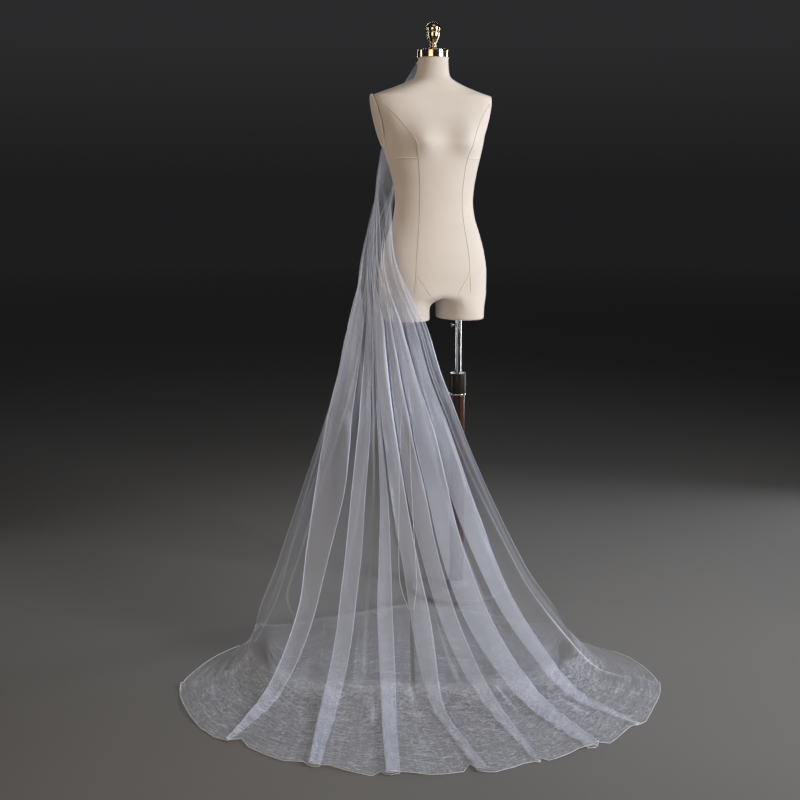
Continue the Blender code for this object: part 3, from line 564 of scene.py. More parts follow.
def noise(tree, vector, scale, detail, **more):
    """One Noise Texture's value."""
    return add(tree, "ShaderNodeTexNoise", {"Vector": vector, "Scale": scale, "Detail": detail,
                                            **more}).outputs["Fac"]


def darkened(tree, colour, grey, share):
    """A colour multiplied by a grey, by a share."""
    both = add(tree, "ShaderNodeCombineColor", {i: grey for i in range(3)})
    return add(tree, "ShaderNodeMix", {0: share, 6: colour, 7: both.outputs[0]},
               data_type="RGBA", blend_type="MULTIPLY").outputs[2]


def feed(shader, **values):
    """Each value linked to the shader's socket of that name."""
    for socket, value in values.items():
        shader.id_data.links.new(value, shader.inputs[socket.replace("_", " ")])


def group(name, values, outputs):
    """A shader node group for a vector and named values, with named outputs, and its two ends."""
    tree = bpy.data.node_groups.new(name, "ShaderNodeTree")
    tree.interface.new_socket("Vector", in_out="INPUT", socket_type="NodeSocketVector")
    for label, value in values.items():
        socket = tree.interface.new_socket(label, in_out="INPUT", socket_type="NodeSocketFloat")
        socket.default_value = value
    for label in outputs:
        tree.interface.new_socket(label, in_out="OUTPUT", socket_type="NodeSocketFloat")
    return tree, tree.nodes.new("NodeGroupInput").outputs, tree.nodes.new("NodeGroupOutput").inputs


def placed(tree, shared, inputs):
    """A shared group in a material, with its own values."""
    return add(tree, "ShaderNodeGroup", inputs, node_tree=shared).outputs


def patches(tree, place, size, low=0.0, high=1.0):
    """Slow patches, from 0 to 1."""
    return placed(tree, SLOW_PATCHES, {"Vector": place, "Size": size, "Low": low,
                                       "High": high})["Value"]


def rubbed(tree, place, amount=1.0):
    """Fine marks of wear."""
    return placed(tree, RUBBED_MARKS, {"Vector": place, "Amount": amount})["Value"]


def make_woven_group():
    """Crossing threads of a plain weave: a height, and a mask of the thread tops."""
    tree, ins, outs = group("plain_weave", {"Threads per metre": 900.0, "Slub": 0.35},
                            ["Height", "Tops"])
    parts = add(tree, "ShaderNodeSeparateXYZ", {0: ins["Vector"]})
    swing = maths(tree, "MULTIPLY", noise(tree, ins["Vector"], 90.0, 2.0), 2.5)
    turns = maths(tree, "MULTIPLY", ins["Threads per metre"], math.pi)
    waves = []
    for axis in (0, 2):
        along = maths(tree, "MULTIPLY", parts.outputs[axis], turns)
        waves.append(maths(tree, "SINE", maths(tree, "ADD", along, swing)))
    crossing = maths(tree, "MULTIPLY", *waves)
    slub = maths(tree, "MULTIPLY", noise(tree, ins["Vector"], 260.0, 3.0), ins["Slub"])
    tree.links.new(maths(tree, "ADD", maths(tree, "MULTIPLY", crossing, 0.5), slub),
                   outs["Height"])
    tree.links.new(maths(tree, "ABSOLUTE", crossing), outs["Tops"])
    return tree


def make_patches_group():
    """Slow uneven patches, for colour and gloss that drift over a surface."""
    tree, ins, outs = group("slow_patches", {"Size": 0.15, "Low": 0.0, "High": 1.0}, ["Value"])
    cloud = noise(tree, ins["Vector"], maths(tree, "DIVIDE", 1.0, ins["Size"]), 4.0, Roughness=0.55)
    tree.links.new(spread(tree, cloud, 0.3, 0.7, ins["Low"], ins["High"]), outs["Value"])
    return tree


def make_marks_group():
    """Fine rubbed marks of handling on a polished or painted surface."""
    tree, ins, outs = group("rubbed_marks", {"Amount": 1.0}, ["Value"])
    stretched = add(tree, "ShaderNodeMapping", {"Vector": ins["Vector"], "Scale": (240, 240, 36)})
    streaks = noise(tree, stretched.outputs[0], 1.0, 5.0, Roughness=0.7)
    both = maths(tree, "MULTIPLY", streaks, noise(tree, ins["Vector"], 45.0, 3.0))
    lifted = spread(tree, both, 0.15, 0.42, 0.0, 1.0)
    tree.links.new(maths(tree, "MULTIPLY", lifted, ins["Amount"]), outs["Value"])
    return tree


def bump(tree, shader, height, distance, strength=1.0):
    """Feed a height to the shader's normal."""
    node = add(tree, "ShaderNodeBump", {"Height": height, "Distance": distance,
                                        "Strength": strength})
    tree.links.new(node.outputs["Normal"], shader.inputs["Normal"])


def make_tulle():
    """Bluish-white net: sheer, denser where a fold lays it double and along the fold's edges."""
    material, tree, shader = new_material("tulle_net", (0.72, 0.77, 0.98), 0.62, Sheen_Weight=0.25,
                                          Sheen_Roughness=0.35)
    cloth = add(tree, "ShaderNodeUVMap", uv_map="cloth").outputs[0]
    marks = {name: add(tree, "ShaderNodeAttribute", attribute_name=name).outputs["Fac"]
             for name in ("ribbon", "rim", "crease", "lying", "sparse")}

    def stretched(across, down, detail, **more):
        place = add(tree, "ShaderNodeMapping", {"Vector": cloth, "Scale": (across, down, 1)})
        return noise(tree, place.outputs[0], 1.0, detail, **more)

    grain = noise(tree, cloth, 420.0, 3.0, Roughness=0.6)
    net = add(tree, "ShaderNodeTexVoronoi", {"Vector": cloth, "Scale": 900.0},
              feature="DISTANCE_TO_EDGE").outputs["Distance"]
    wrinkles = [stretched(across, down, 3.0, Roughness=0.5, Distortion=0.9)
                for across, down in ((11, 62), (30, 170))]
    crests = [maths(tree, "ABSOLUTE", maths(tree, "SUBTRACT", wrinkle, 0.5))
              for wrinkle in wrinkles]
    lines = maths(tree, "MAXIMUM", spread(tree, crests[0], 0.0, 0.045, 0.9, 0.0),
                  spread(tree, crests[1], 0.0, 0.07, 0.75, 0.0))

    share = maths(tree, "MULTIPLY_ADD", marks["ribbon"], NET_SHARES["ribbon"])
    share.node.inputs[2].default_value = NET_SHARES["open"]
    for mark in ("rim", "crease", "lying"):
        share = maths(tree, "ADD", share, maths(tree, "MULTIPLY", marks[mark], NET_SHARES[mark]))
    open_cloth = spread(tree, marks["ribbon"], 0, 1, *CRINKLE_SHARES)
    on_floor = maths(tree, "MULTIPLY", maths(tree, "MULTIPLY", lines, marks["lying"]), open_cloth)
    share = maths(tree, "ADD", share, on_floor)
    for part in (spread(tree, stretched(95, 3.2, 4.0), 0.35, 0.65, 0.88, 1.14),
                 spread(tree, grain, 0.3, 0.7, 0.78, 1.22),
                 patches(tree, cloth, 0.22, 0.86, 1.14), marks["sparse"]):
        share = maths(tree, "MULTIPLY", share, part)
    share = maths(tree, "MULTIPLY", share, spread(tree, net, 0.0, 0.22, 1.25, 0.85), clamp=True)
    # the colour is lighter along the crinkle lines, a painted highlight on their crests; the lines
    # also make the net denser
    feed(shader, Alpha=share,
         Base_Color=tint(tree, lines, (0.69, 0.76, 0.97), (0.79, 0.85, 0.99)))
    depth = maths(tree, "MULTIPLY", wrinkles[0], spread(tree, marks["lying"], 0, 1, 0.15, 1.0))
    bump(tree, shader, depth, 0.004, 0.8)
    return material


def make_satin():
    """Close satin binding with fine ribs across it."""
    material, tree, shader = new_material("satin_binding", (0.86, 0.87, 0.90), 0.34,
                                          Sheen_Weight=0.2)
    place = object_place(tree)
    weave = placed(tree, PLAIN_WEAVE, {"Vector": place, "Threads per metre": 2600.0, "Slub": 0.2})
    # the colour is lighter on the thread tops and darker between the threads: painted sheen and
    # shade
    feed(shader, Roughness=patches(tree, place, 0.01, 0.28, 0.42),
         Base_Color=tint(tree, weave["Tops"], (0.80, 0.81, 0.84), (0.89, 0.90, 0.93)))
    bump(tree, shader, weave["Height"], 0.0002, 0.6)
    return material


def make_linen():
    """The cream cover, a fine plain weave, its colour a little darker in the weave's hollows as
    painted shade.
    """
    material, tree, shader = new_material("cream_cover", (0.74, 0.675, 0.62), 0.82,
                                          Sheen_Weight=0.15, Sheen_Roughness=0.5)
    place = object_place(tree)
    weave = placed(tree, PLAIN_WEAVE, {"Vector": place, "Threads per metre": 850.0, "Slub": 0.5})
    colour = tint(tree, patches(tree, place, 0.12), (0.70, 0.637, 0.585), (0.755, 0.692, 0.645))
    # darkened by the weave's height: painted shade in its hollows
    feed(shader, Base_Color=darkened(tree, colour, weave["Height"], 0.16),
         Roughness=spread(tree, weave["Tops"], 0, 1, 0.88, 0.74))
    bump(tree, shader, weave["Height"], 0.0004, 0.5)
    return material


def make_thread(name, colour):
    """Twisted sewing thread and piping."""
    material, tree, shader = new_material(name, colour, 0.7, Sheen_Weight=0.2)
    place = object_place(tree, (1600, 1600, 1600))
    twist = add(tree, "ShaderNodeTexWave", {"Vector": place, "Scale": 1.0, "Distortion": 1.5},
                bands_direction="DIAGONAL").outputs["Fac"]
    # the colour darkens where the twist is low, painted shade in its grooves
    feed(shader, Base_Color=tint(tree, twist, [c * 0.78 for c in colour], colour))
    bump(tree, shader, twist, 0.0002, 0.5)
    return material


def make_metal(name, colour, dull, low, high):
    """Polished metal with faint rubbed marks."""
    material, tree, shader = new_material(name, colour, low, 1.0)
    place = object_place(tree)
    marks = rubbed(tree, place)
    feed(shader, Roughness=spread(tree, marks, 0, 1, low, high),
         Base_Color=tint(tree, patches(tree, place, 0.03), dull, colour))
    bump(tree, shader, marks, 0.0001, 0.25)
    return material


def make_comb_plastic():
    """Clear plastic, clouded and scuffed."""
    material, tree, shader = new_material("comb_clear", (0.82, 0.83, 0.84), 0.12, Coat_Weight=0.3)
    place = object_place(tree)
    feed(shader, Roughness=spread(tree, rubbed(tree, place, 0.6), 0, 1, 0.12, 0.34),
         Base_Color=tint(tree, patches(tree, place, 0.012), (0.74, 0.75, 0.76),
                         (0.86, 0.87, 0.88)))
    return material


def make_wood():
    """Dark red-brown varnished wood, its grain along the pole."""
    material, tree, shader = new_material("dark_wood", (0.070, 0.024, 0.012), 0.3,
                                          Coat_Weight=0.4, Coat_Roughness=0.12,
                                          Specular_IOR_Level=0.3)
    warp = noise(tree, object_place(tree, (60, 60, 5)), 1.0, 5.0, Roughness=0.6, Distortion=0.6)
    pores = noise(tree, object_place(tree, (620, 620, 14)), 1.0, 3.0)
    ramp = add(tree, "ShaderNodeValToRGB", {0: warp})
    for stop, position, colour in zip(ramp.color_ramp.elements, (0.32, 0.70),
                                      ((0.010, 0.004, 0.003, 1), (0.080, 0.025, 0.012, 1))):
        stop.position, stop.color = position, colour
    dark = spread(tree, pores, 0.38, 0.5, 0.6, 1.0)
    feed(shader, Base_Color=darkened(tree, ramp.outputs[0], dark, 1.0),
         Roughness=spread(tree, pores, 0.3, 0.6, 0.42, 0.26))
    bump(tree, shader, pores, 0.0002, 0.3)
    return material


def make_paint(name, light, dark, low, high):
    """Painted or plated metal with a faint orange peel and rubbed marks."""
    material, tree, shader = new_material(name, light, low, Specular_IOR_Level=0.3)
    place = object_place(tree)
    feed(shader, Base_Color=tint(tree, patches(tree, place, 0.05), dark, light),
         Roughness=spread(tree, rubbed(tree, place), 0, 1, low, high))
    bump(tree, shader, noise(tree, place, 700.0, 2.0), 0.0003, 0.35)
    return material


# ---------------------------------------------------------------- the veil's form

def ring_at(level):
    """A ring of the large form: z, across, out, facing in radians, half, front and back."""
    index = np.arange(len(VEIL_RINGS))
    ring = [float(ease(index, column(VEIL_RINGS, i), min(level, LANDED))) for i in range(7)]
    ring[3] = math.radians(ring[3])
    return ring


def on_ring(ring, turn):
    """How far along and how far outwards of a ring's middle its points lie."""
    half, front, back = ring[4:]
    return half * np.sin(turn), np.where(np.cos(turn) > 0, front, back) * np.cos(turn)


def fold_places(level):
    """Each fold's turn at a row, side edges first and last: evenly spread, then by the table."""
    count = len(FOLDS)
    marks = np.concatenate([[0.0], np.arange(count) + 0.5, [count]])
    side = TOP_TURN + (SLIT_TURN - TOP_TURN) * fade(*CLOSING_ROWS, level)
    turns = np.radians(np.linspace(-side, side, 361))
    length = run_length(np.column_stack(on_ring(ring_at(level), turns)))
    even = np.interp(marks / count * length[-1], length, turns)
    spread_out = [fold_path(fold, level)[0] for fold in FOLDS]
    low = np.radians([-SLIT_TURN, *spread_out, SLIT_TURN])
    return marks, even + (low - even) * fade(4.0, 7.5, level)


def fold_path(fold, level):
    """A fold's turn and width at a row."""
    name, turn, width = fold[0], fold[2], fold[5]
    if name not in FOLD_PATHS:
        return turn, width
    turns, widths = FOLD_PATHS[name]
    rows = (*PATH_ROWS, float(LANDED))
    return (float(ease(PATH_ROWS, turns, level)),
            float(ease(rows, (*widths, width), min(level, LANDED))))


def hem_step(place):
    """How far the hem stands out or back: each flat fold's open side reaches further."""
    total = np.zeros_like(place)
    for k, (name, kind, _, bearing, *_) in enumerate(FOLDS):
        if abs(bearing) > TUCK_FROM:
            continue
        near = (place - (k + 0.5)) / 0.24
        if kind == "ripple":
            total = total + 0.3 * HEM_STEP * np.exp(-near * near)
        else:
            side = 1 if kind == "right" else -1
            total = total + HEM_STEP * 1.6 * side * near * np.exp(-near * near)
        if name in HEM_NOTCHES:
            off = (place - (k + 0.5) - HEM_NOTCHES[name]) / 0.045
            total = total - HEM_NOTCH * np.exp(-off * off)
    return total


def large_form(level, place):
    """The veil without its folds, at a row and at places along it counted in folds."""
    place = np.asarray(place, float)
    marks, turns = fold_places(level)
    turn = ease(marks, turns, place)
    landing_bearing, hem_bearing = [
        ease(marks, np.concatenate([[-EDGE_BEARING], column(FOLDS, i), [EDGE_BEARING]]), place)
        for i in (3, 4)]

    ring = ring_at(level)
    z, mid_a, mid_o, face = ring[:4]
    along, outwards = on_ring(ring, turn)
    across = mid_a + along * math.cos(face) + outwards * math.sin(face)
    out = mid_o - along * math.sin(face) + outwards * math.cos(face)

    bearings = column(FLOOR_LINE, 0)
    landing, tuck, drop = [
        ease(bearings, column(FLOOR_LINE, i), landing_bearing) for i in (1, 3, 4)]
    hem = ease(bearings, column(FLOOR_LINE, 2), hem_bearing)
    lying = max(level - LANDED, 0.0)
    near, far = np.radians(landing_bearing), np.radians(hem_bearing)
    hem = hem + hem_step(place) * float(fade(0.25, 1.0, lying)) ** 2
    floor_a = landing * np.sin(near) * (1 - lying) + hem * np.sin(far) * lying + FAN_ACROSS
    floor_o = landing * np.cos(near) * (1 - lying) + hem * np.cos(far) * lying + FAN_OUT
    floor_o = floor_o + tuck * lying
    settled = min(max(level - BLEND_FROM, 0.0) / (LANDED - BLEND_FROM), 1.0)
    across = across + (floor_a - across) * settled ** 1.4
    out = out + (floor_o - out) * settled ** 1.4
    z = z * max(1 - lying / 0.2, 0.0) ** 2
    height = z + drop * float(fade(BLEND_FROM, LANDED, level)) * (1 - lying) + WALL / 2
    return to_world(across, out, height)


def fold_height(bearing, height, floor, level):
    """How far a fold stands out at a row. Tucked cloth lands flat and ripples again beyond."""
    top = GATHER_HEIGHT + (BUNDLE_HEIGHT - GATHER_HEIGHT) * float(fade(1.3, 3.6, level))
    full = top + (height - top) * float(fade(5.5, 8.5, level))
    if abs(bearing) > TUCK_FROM:
        risen = floor * float(fade(LANDED, LANDED + 0.3, level))
        return full * (1 - float(fade(LANDED - 2.0, LANDED - 0.2, level))) + risen
    return full + (floor - full) * float(fade(LANDED - 0.5, LANDED + 0.4, level))


def fold_section(kind, opened):
    """A fold's points: along in widths, out in heights, ribbon and rim."""
    if kind == "ripple":
        return np.array(RIPPLE)
    shape = np.array(FLAT_FOLD)
    section = np.column_stack([shape[:, 2:4] * (1 - opened) + shape[:, :2] * opened,
                               shape[:, 4:] * opened])
    if kind == "right":
        section = section[::-1] * [-1, 1, 1, 1]
    return section


def fine_steps():
    """Places along a row's points at which the sheet has a column."""
    parts = {"ripple": [RIPPLE_STEP] * (len(RIPPLE) - 1), "left": FLAT_STEPS,
             "right": FLAT_STEPS[::-1]}
    counts = [EDGE_STEP]
    for fold in FOLDS:
        counts += [*parts[fold[1]], BETWEEN_STEP, BETWEEN_STEP]
    counts[-2:] = [EDGE_STEP]
    at = [0.0]
    for count in counts:
        at += [at[-1] + (i + 1) / count for i in range(count)]
    return np.array(at)


def veil_row(level):
    """One row of the sheet: its points, and for each its facing, place, ribbon and rim."""
    count = len(FOLDS)
    dense = np.linspace(0, count, count * 48 + 1)
    base = large_form(level, dense)
    above = large_form(max(level - NUDGE, 0.0), dense)
    below = large_form(min(level + NUDGE, HEM), dense)
    outward = unit(np.cross(below - above, unit(np.gradient(base, axis=0))))
    length = run_length(base)
    middles = np.interp(np.arange(count) + 0.5, dense, length)
    widths = np.array([fold_path(fold, level)[1] for fold in FOLDS])
    opened = fade(*OPENING_ROWS, level)
    share = 0.5 + (widths[:-1] / (widths[:-1] + widths[1:]) - 0.5) * opened
    bounds = np.concatenate([[0.0], middles[:-1] + np.diff(middles) * share, [length[-1]]])

    touching = FOLD_SHARE + (1 - FOLD_SHARE) * (1 - fade(11.5, 13.0, level))
    lying = fade(LANDED - 1.0, LANDED + 0.2, level)
    facing_up = unit(outward * (1 - lying) + np.array([0, 0, lying]))
    laid = max(level - LANDED, 0.0)
    flat = (0.0, 0.0, 0.0)
    along, rest = [0.0], [flat]
    for k, (name, kind, _, bearing, _, _, height, floor) in enumerate(FOLDS):
        room = 2 * np.array([middles[k] - bounds[k], bounds[k + 1] - middles[k]])
        wide = (widths[k] ** -8.0 + (touching * room) ** -8.0) ** -0.125
        reach = GATHER_SHARE * room.min() * (1 - opened) + wide * opened
        half_way, at_hem, shine = LYING_FOLDS.get(name, (1.0, 1.0, 1.0))
        reach *= ease([-0.3, 0.0, 0.5, 1.0], [1, 1 - (1 - half_way) * 0.25, half_way, at_hem],
                      level - LANDED if level > LANDED - 0.3 else -0.3)
        shine = 1 - (1 - shine) * fade(0.1, 0.95, laid)
        shine *= 1 - (1 - HANGING_SHINE.get(name, 1.0)) * (1 - fade(10.0, 12.5, level))
        section = fold_section(kind, opened)
        tall = min(fold_height(bearing, height, floor, level), TALLEST * reach.min())
        along.extend(middles[k] + section[:, 0] * np.where(section[:, 0] < 0, *reach))
        rest.extend(section[:, 1:] * [tall, shine, 0.4 + 0.6 * shine])
        if k + 1 < count:
            along.append(None)
            rest.append(flat)
    for i, value in enumerate(along):
        if value is None:
            along[i] = (along[i - 1] + along[i + 1]) / 2
    along.append(length[-1])
    rest.append(flat)
    knots = np.arange(len(along))
    at = fine_steps()
    along = ease(knots, along, at)
    rest = np.array(rest, float)
    outs, ribbon = [ease(knots, rest[:, i], at) for i in (0, 1)]
    rim = np.maximum(1 - 2.6 * np.abs(at - np.round(at)), 0) * rest[np.round(at).astype(int), 2]
    spot, facing = [np.stack([np.interp(along, length, part[:, i]) for i in range(3)], axis=-1)
                    for part in (base, facing_up)]
    facing = unit(facing)
    return spot + facing * outs[:, None], facing, np.interp(along, length, dense), ribbon, rim


def sheet_levels():
    """Row coordinates of the sheet, so that its rows are evenly spaced down its front."""
    levels = np.linspace(0, HEM, 721)
    length = run_length(np.array([large_form(level, np.array([7.0]))[0] for level in levels]))
    landed = float(np.interp(LANDED - 0.6, levels, length))
    hanging = np.linspace(0, landed, round(landed / HANGING_STEP), endpoint=False)
    lying = np.linspace(landed, length[-1], round((length[-1] - landed) / LYING_STEP) + 1)
    down = np.concatenate([hanging, lying])
    return np.interp(down, length, levels), down


def off_the_back(grid):
    """How far back each point of the sheet moves so that it lies on the cover's shoulder blade."""
    x, y, z = (grid[..., i] for i in range(3))
    (wide, deep, back, square), middle, behind = body_section(z)
    side = np.clip(np.abs(x - middle) / wide, 0, 1)
    skin = back + behind + deep * (1 - side ** square) ** (1 / square)
    short = skin + BACK_CLEAR - y
    near = fade(1.42, 1.45, z) * (1 - fade(1.54, 1.58, z)) * (short < BACK_REACH)
    return near * (short + np.sqrt(short ** 2 + BACK_CLEAR ** 2)) / 2


def make_veil(material):
    """The whole panel as one sheet of net."""
    levels, down = sheet_levels()
    rows = [veil_row(level) for level in levels]
    grid, facing, place, ribbon, rim = [np.stack([row[i] for row in rows]) for i in range(5)]
    level = levels[:, None]
    down = down[:, None]

    # ease each fold's line where it turns onto the floor
    bearing = np.interp(place, np.arange(len(FOLDS)) + 0.5, column(FOLDS, 3))
    tucked = fade(TUCK_FROM - 4, TUCK_FROM + 12, np.abs(bearing))
    free = 0.5 * fade(13.5, 15.5, level) * (1 - fade(17.8, 18.0, level)) * (1 - 0.85 * tucked)
    free = free[1:-1, :, None]
    for _ in range(SETTLE_PASSES):
        grid[1:-1] += free * ((grid[:-2] + grid[2:]) / 2 - grid[1:-1])

    # pleats that run down from the gathers and open out below the hip
    bundle = fade(0.3, 2.0, level) * (1 - fade(7.5, 13.0, level))
    pleats = np.sin(2 * math.pi * (place * 3.1 + 0.35 * uneven(place, down, 0.35, 0.8, PLEAT_SEED)))
    size = (0.0006 + 0.0009 * bundle) * (1 - 0.75 * fade(9.0, 15.0, level))
    lift = pleats * size * (0.7 + 0.5 * uneven(place, down, 0.6, 0.7, PLEAT_SEED + 1))

    # slack between the folds, and crinkles where the cloth lies
    hanging = fade(8.0, 12.0, level) * (1 - fade(LANDED - 1, LANDED, level))
    lift = lift + hanging * 0.003 * uneven(place, down, 0.9, 1.1, PLEAT_SEED + 2)
    shines = np.zeros_like(place)
    for where, drift, start, end, width, height, shine in CREASES:
        off = (place - where - drift * (level - start) / (end - start)) / width
        run = fade(start, start + 0.25 * (end - start), level)
        run = run * (1 - fade(end - 0.35 * (end - start), end, level))
        ridge = run * np.exp(-off * off)
        lift = lift + height * ridge
        shines = np.maximum(shines, shine * ridge ** 2)
    lying = fade(LANDED - 1.0, LANDED + 0.35, level) * (1 - tucked) + tucked * (level > LANDED)
    across_cloth = place * 0.30
    crinkle = uneven(across_cloth, down, 5.0, 16.0, CRINKLE_SEED)
    crinkle = crinkle + 0.5 * uneven(across_cloth, down, 12.0, 34.0, CRINKLE_SEED + 1)
    lift = lift + lying * (0.0016 + 0.0016 * crinkle)
    grid = grid + facing * lift[..., None]
    grid[:, :, 1] += off_the_back(grid)
    grid[:, :, 2] = np.maximum(grid[:, :, 2], FLOOR_CLEAR)

    mesh = new_mesh("veil", grid.reshape(-1, 3),
                    faces=[(a, d, c, b) for a, b, c, d in band(*place.shape, closed=False)])
    crease = np.clip(pleats - 0.35, 0, 1) * 0.5 * bundle * fade(4.0, 7.0, level)
    spacing = np.linalg.norm(np.diff(grid, axis=0, append=grid[-1:]), axis=-1)
    spacing[-1] = spacing[-2]
    nominal = np.diff(down, axis=0, append=down[-1:] + LYING_STEP)
    sparse = np.clip(1.6 * spacing / nominal, 0.04, 1)
    sparse = sparse * (1 - tucked * fade(LANDED - 0.5, LANDED, level)
                       * (0.55 - 0.35 * fade(LANDED, LANDED + 0.6, level)))
    sparse = sparse * (1 - 0.9 * tucked * fade(LANDED + 0.86, HEM, level))
    sparse = sparse * ease(column(GATHERED, 0), column(GATHERED, 1), level)
    turn_in = 0.35 * tucked * np.exp(-((level - LANDED) / 0.025) ** 2)
    for name, values in (("ribbon", ribbon), ("rim", rim * fade(7.0, 9.2, level)),
                         ("crease", np.maximum(np.maximum(crease, shines), turn_in)),
                         ("lying", lying),
                         ("sparse", sparse)):
        layer = mesh.attributes.new(name, "FLOAT", "POINT")
        layer.data.foreach_set("value", np.broadcast_to(values, place.shape).ravel())
    uv = np.stack([across_cloth, np.broadcast_to(down, place.shape)], axis=-1).reshape(-1, 2)
    layer = mesh.uv_layers.new(name="cloth")
    loops = np.empty(len(mesh.loops), dtype=np.int32)
    mesh.loops.foreach_get("vertex_index", loops)
    layer.data.foreach_set("uv", uv[loops].ravel())
    mesh.materials.append(material)
    mesh.shade_smooth()
    return linked("veil", mesh), grid


# ---------------------------------------------------------------- making objects

def link_mesh(name, vertices, faces, material, angle=40.0):
    """One closed piece with its place in its mesh and its faces turned outwards."""
    mesh = new_mesh(name, vertices, faces=faces)
    work = bmesh.new()
    work.from_mesh(mesh)
    bmesh.ops.recalc_face_normals(work, faces=work.faces)
    work.to_mesh(mesh)
    work.free()
    mesh.materials.append(material)
    mesh.shade_smooth()
    mesh.set_sharp_from_angle(angle=math.radians(angle))
    return linked(name, mesh)


def rounded(profile, radius, steps=4):
    """A turned profile with its corners rounded to at most a radius."""
    points = [np.array(profile[0], float)]
    for before, corner, after in zip(profile, profile[1:], profile[2:]):
        before, corner, after = (np.array(p, float) for p in (before, corner, after))
        back, ahead = before - corner, after - corner
        cut = min(radius, np.linalg.norm(back) * 0.45, np.linalg.norm(ahead) * 0.45)
        start = corner + unit(back) * cut
        end = corner + unit(ahead) * cut
        for i in range(steps + 1):
            u = i / steps
            points.append((1 - u) ** 2 * start + 2 * u * (1 - u) * corner + u * u * end)
    points.append(np.array(profile[-1], float))
    return points


def turned(name, profile, material, origin, steps=TURN_STEPS, angle=40.0):
    """A piece turned round +Z from (radius, height) pairs, closed by flat ends."""
    turn = around(steps)
    vertices = []
    for radius, height in profile:
        vertices.extend(np.stack([radius * np.cos(turn), radius * np.sin(turn),
                                  np.full(steps, height)], axis=-1) + np.array(origin, float))
    return link_mesh(name, vertices, capped(len(profile), steps), material, angle)


def path_object(name, runs):
    """An object of bare edges along each run of points, for the node trees to follow."""
    vertices, edges = [], []
    for run, closed in runs:
        start = len(vertices)
        vertices.extend(run)
        edges += [(start + i, start + i + 1) for i in range(len(run) - 1)]
        if closed:
            edges.append((start + len(run) - 1, start))
    return linked(name, new_mesh(name, vertices, edges))


def geometry_tree(name, *inputs):
    """A Geometry Nodes tree with named inputs. Returns it, its inputs and its path as a curve."""
    tree = bpy.data.node_groups.new(name, "GeometryNodeTree")
    for label, kind, value in (("Geometry", "Geometry", None), *inputs,
                               ("Material", "Material", None)):
        socket = tree.interface.new_socket(label, in_out="INPUT", socket_type="NodeSocket" + kind)
        if value is not None:
            socket.default_value = value
    tree.interface.new_socket("Geometry", in_out="OUTPUT", socket_type="NodeSocketGeometry")
    ins = tree.nodes.new("NodeGroupInput").outputs
    return tree, ins, add(tree, "GeometryNodeMeshToCurve", {"Mesh": ins["Geometry"]}).outputs[0]


def tube_along(tree, curve, radius, sides):
    """A round thread along a curve."""
    ring = add(tree, "GeometryNodeCurvePrimitiveCircle", {"Resolution": sides, "Radius": radius})
    return add(tree, "GeometryNodeCurveToMesh", {"Curve": curve, "Profile Curve": ring.outputs[0],
                                                 "Fill Caps": True}).outputs[0]


def finish_tree(tree, ins, shape):
    """The shape made real, smooth and of the tree's material, at the tree's end."""
    whole = add(tree, "GeometryNodeRealizeInstances", {0: shape})
    smooth = add(tree, "GeometryNodeSetShadeSmooth", {0: whole.outputs[0]})
    finish = add(tree, "GeometryNodeSetMaterial", {"Geometry": smooth.outputs[0],
                                                   "Material": ins["Material"]})
    add(tree, "NodeGroupOutput", {"Geometry": finish.outputs[0]})
    return tree


def make_tube_tree():
    """A round tube along a path, open or closed."""
    tree, ins, curve = geometry_tree("tube_along_path", ("Radius", "Float", 0.001),
                                     ("Sides", "Int", 8))
    return finish_tree(tree, ins, tube_along(tree, curve, ins["Radius"], ins["Sides"]))


def make_stitch_tree():
    """Short stitches along a path, a little apart."""
    tree, ins, curve = geometry_tree("stitches_along_path", ("Spacing", "Float", 0.003),
                                     ("Length", "Float", 0.002), ("Radius", "Float", 0.0003))
    points = add(tree, "GeometryNodeResampleCurve", {"Curve": curve, "Length": ins["Spacing"]},
                 mode="LENGTH")
    tangent = add(tree, "GeometryNodeInputTangent")
    facing = add(tree, "FunctionNodeAlignRotationToVector", {"Vector": tangent.outputs[0]},
                 axis="Z")
    bar = add(tree, "GeometryNodeMeshCylinder", {"Vertices": 6, "Side Segments": 1,
                                                 "Radius": ins["Radius"], "Depth": ins["Length"]})
    many = add(tree, "GeometryNodeInstanceOnPoints", {"Points": points.outputs[0],
                                                      "Instance": bar.outputs[0],
                                                      "Rotation": facing.outputs[0]})
    return finish_tree(tree, ins, many.outputs[0])


def make_teeth_tree():
    """Bent comb teeth that hang from points along a path."""
    tree, ins, curve = geometry_tree("comb_teeth", ("Count", "Int", 16), ("Length", "Float", 0.03),
                                     ("Radius", "Float", 0.0008), ("Bend", "Vector", (0, 0, 0)))
    points = add(tree, "GeometryNodeResampleCurve", {"Curve": curve, "Count": ins["Count"]},
                 mode="COUNT")
    low = add(tree, "ShaderNodeCombineXYZ", {2: maths(tree, "MULTIPLY", ins["Length"], -1.0)})
    half = add(tree, "ShaderNodeVectorMath", {0: low.outputs[0], 1: (0.5, 0.5, 0.5)},
               operation="MULTIPLY")
    bent = add(tree, "ShaderNodeVectorMath", {0: half.outputs[0], 1: ins["Bend"]})
    tooth = add(tree, "GeometryNodeCurveQuadraticBezier", {"Resolution": 8, "Start": (0, 0, 0),
                                                           "Middle": bent.outputs[0],
                                                           "End": low.outputs[0]})
    body = tube_along(tree, tooth.outputs[0], ins["Radius"], 10)
    many = add(tree, "GeometryNodeInstanceOnPoints", {"Points": points.outputs[0],
                                                      "Instance": body})
    return finish_tree(tree, ins, many.outputs[0])


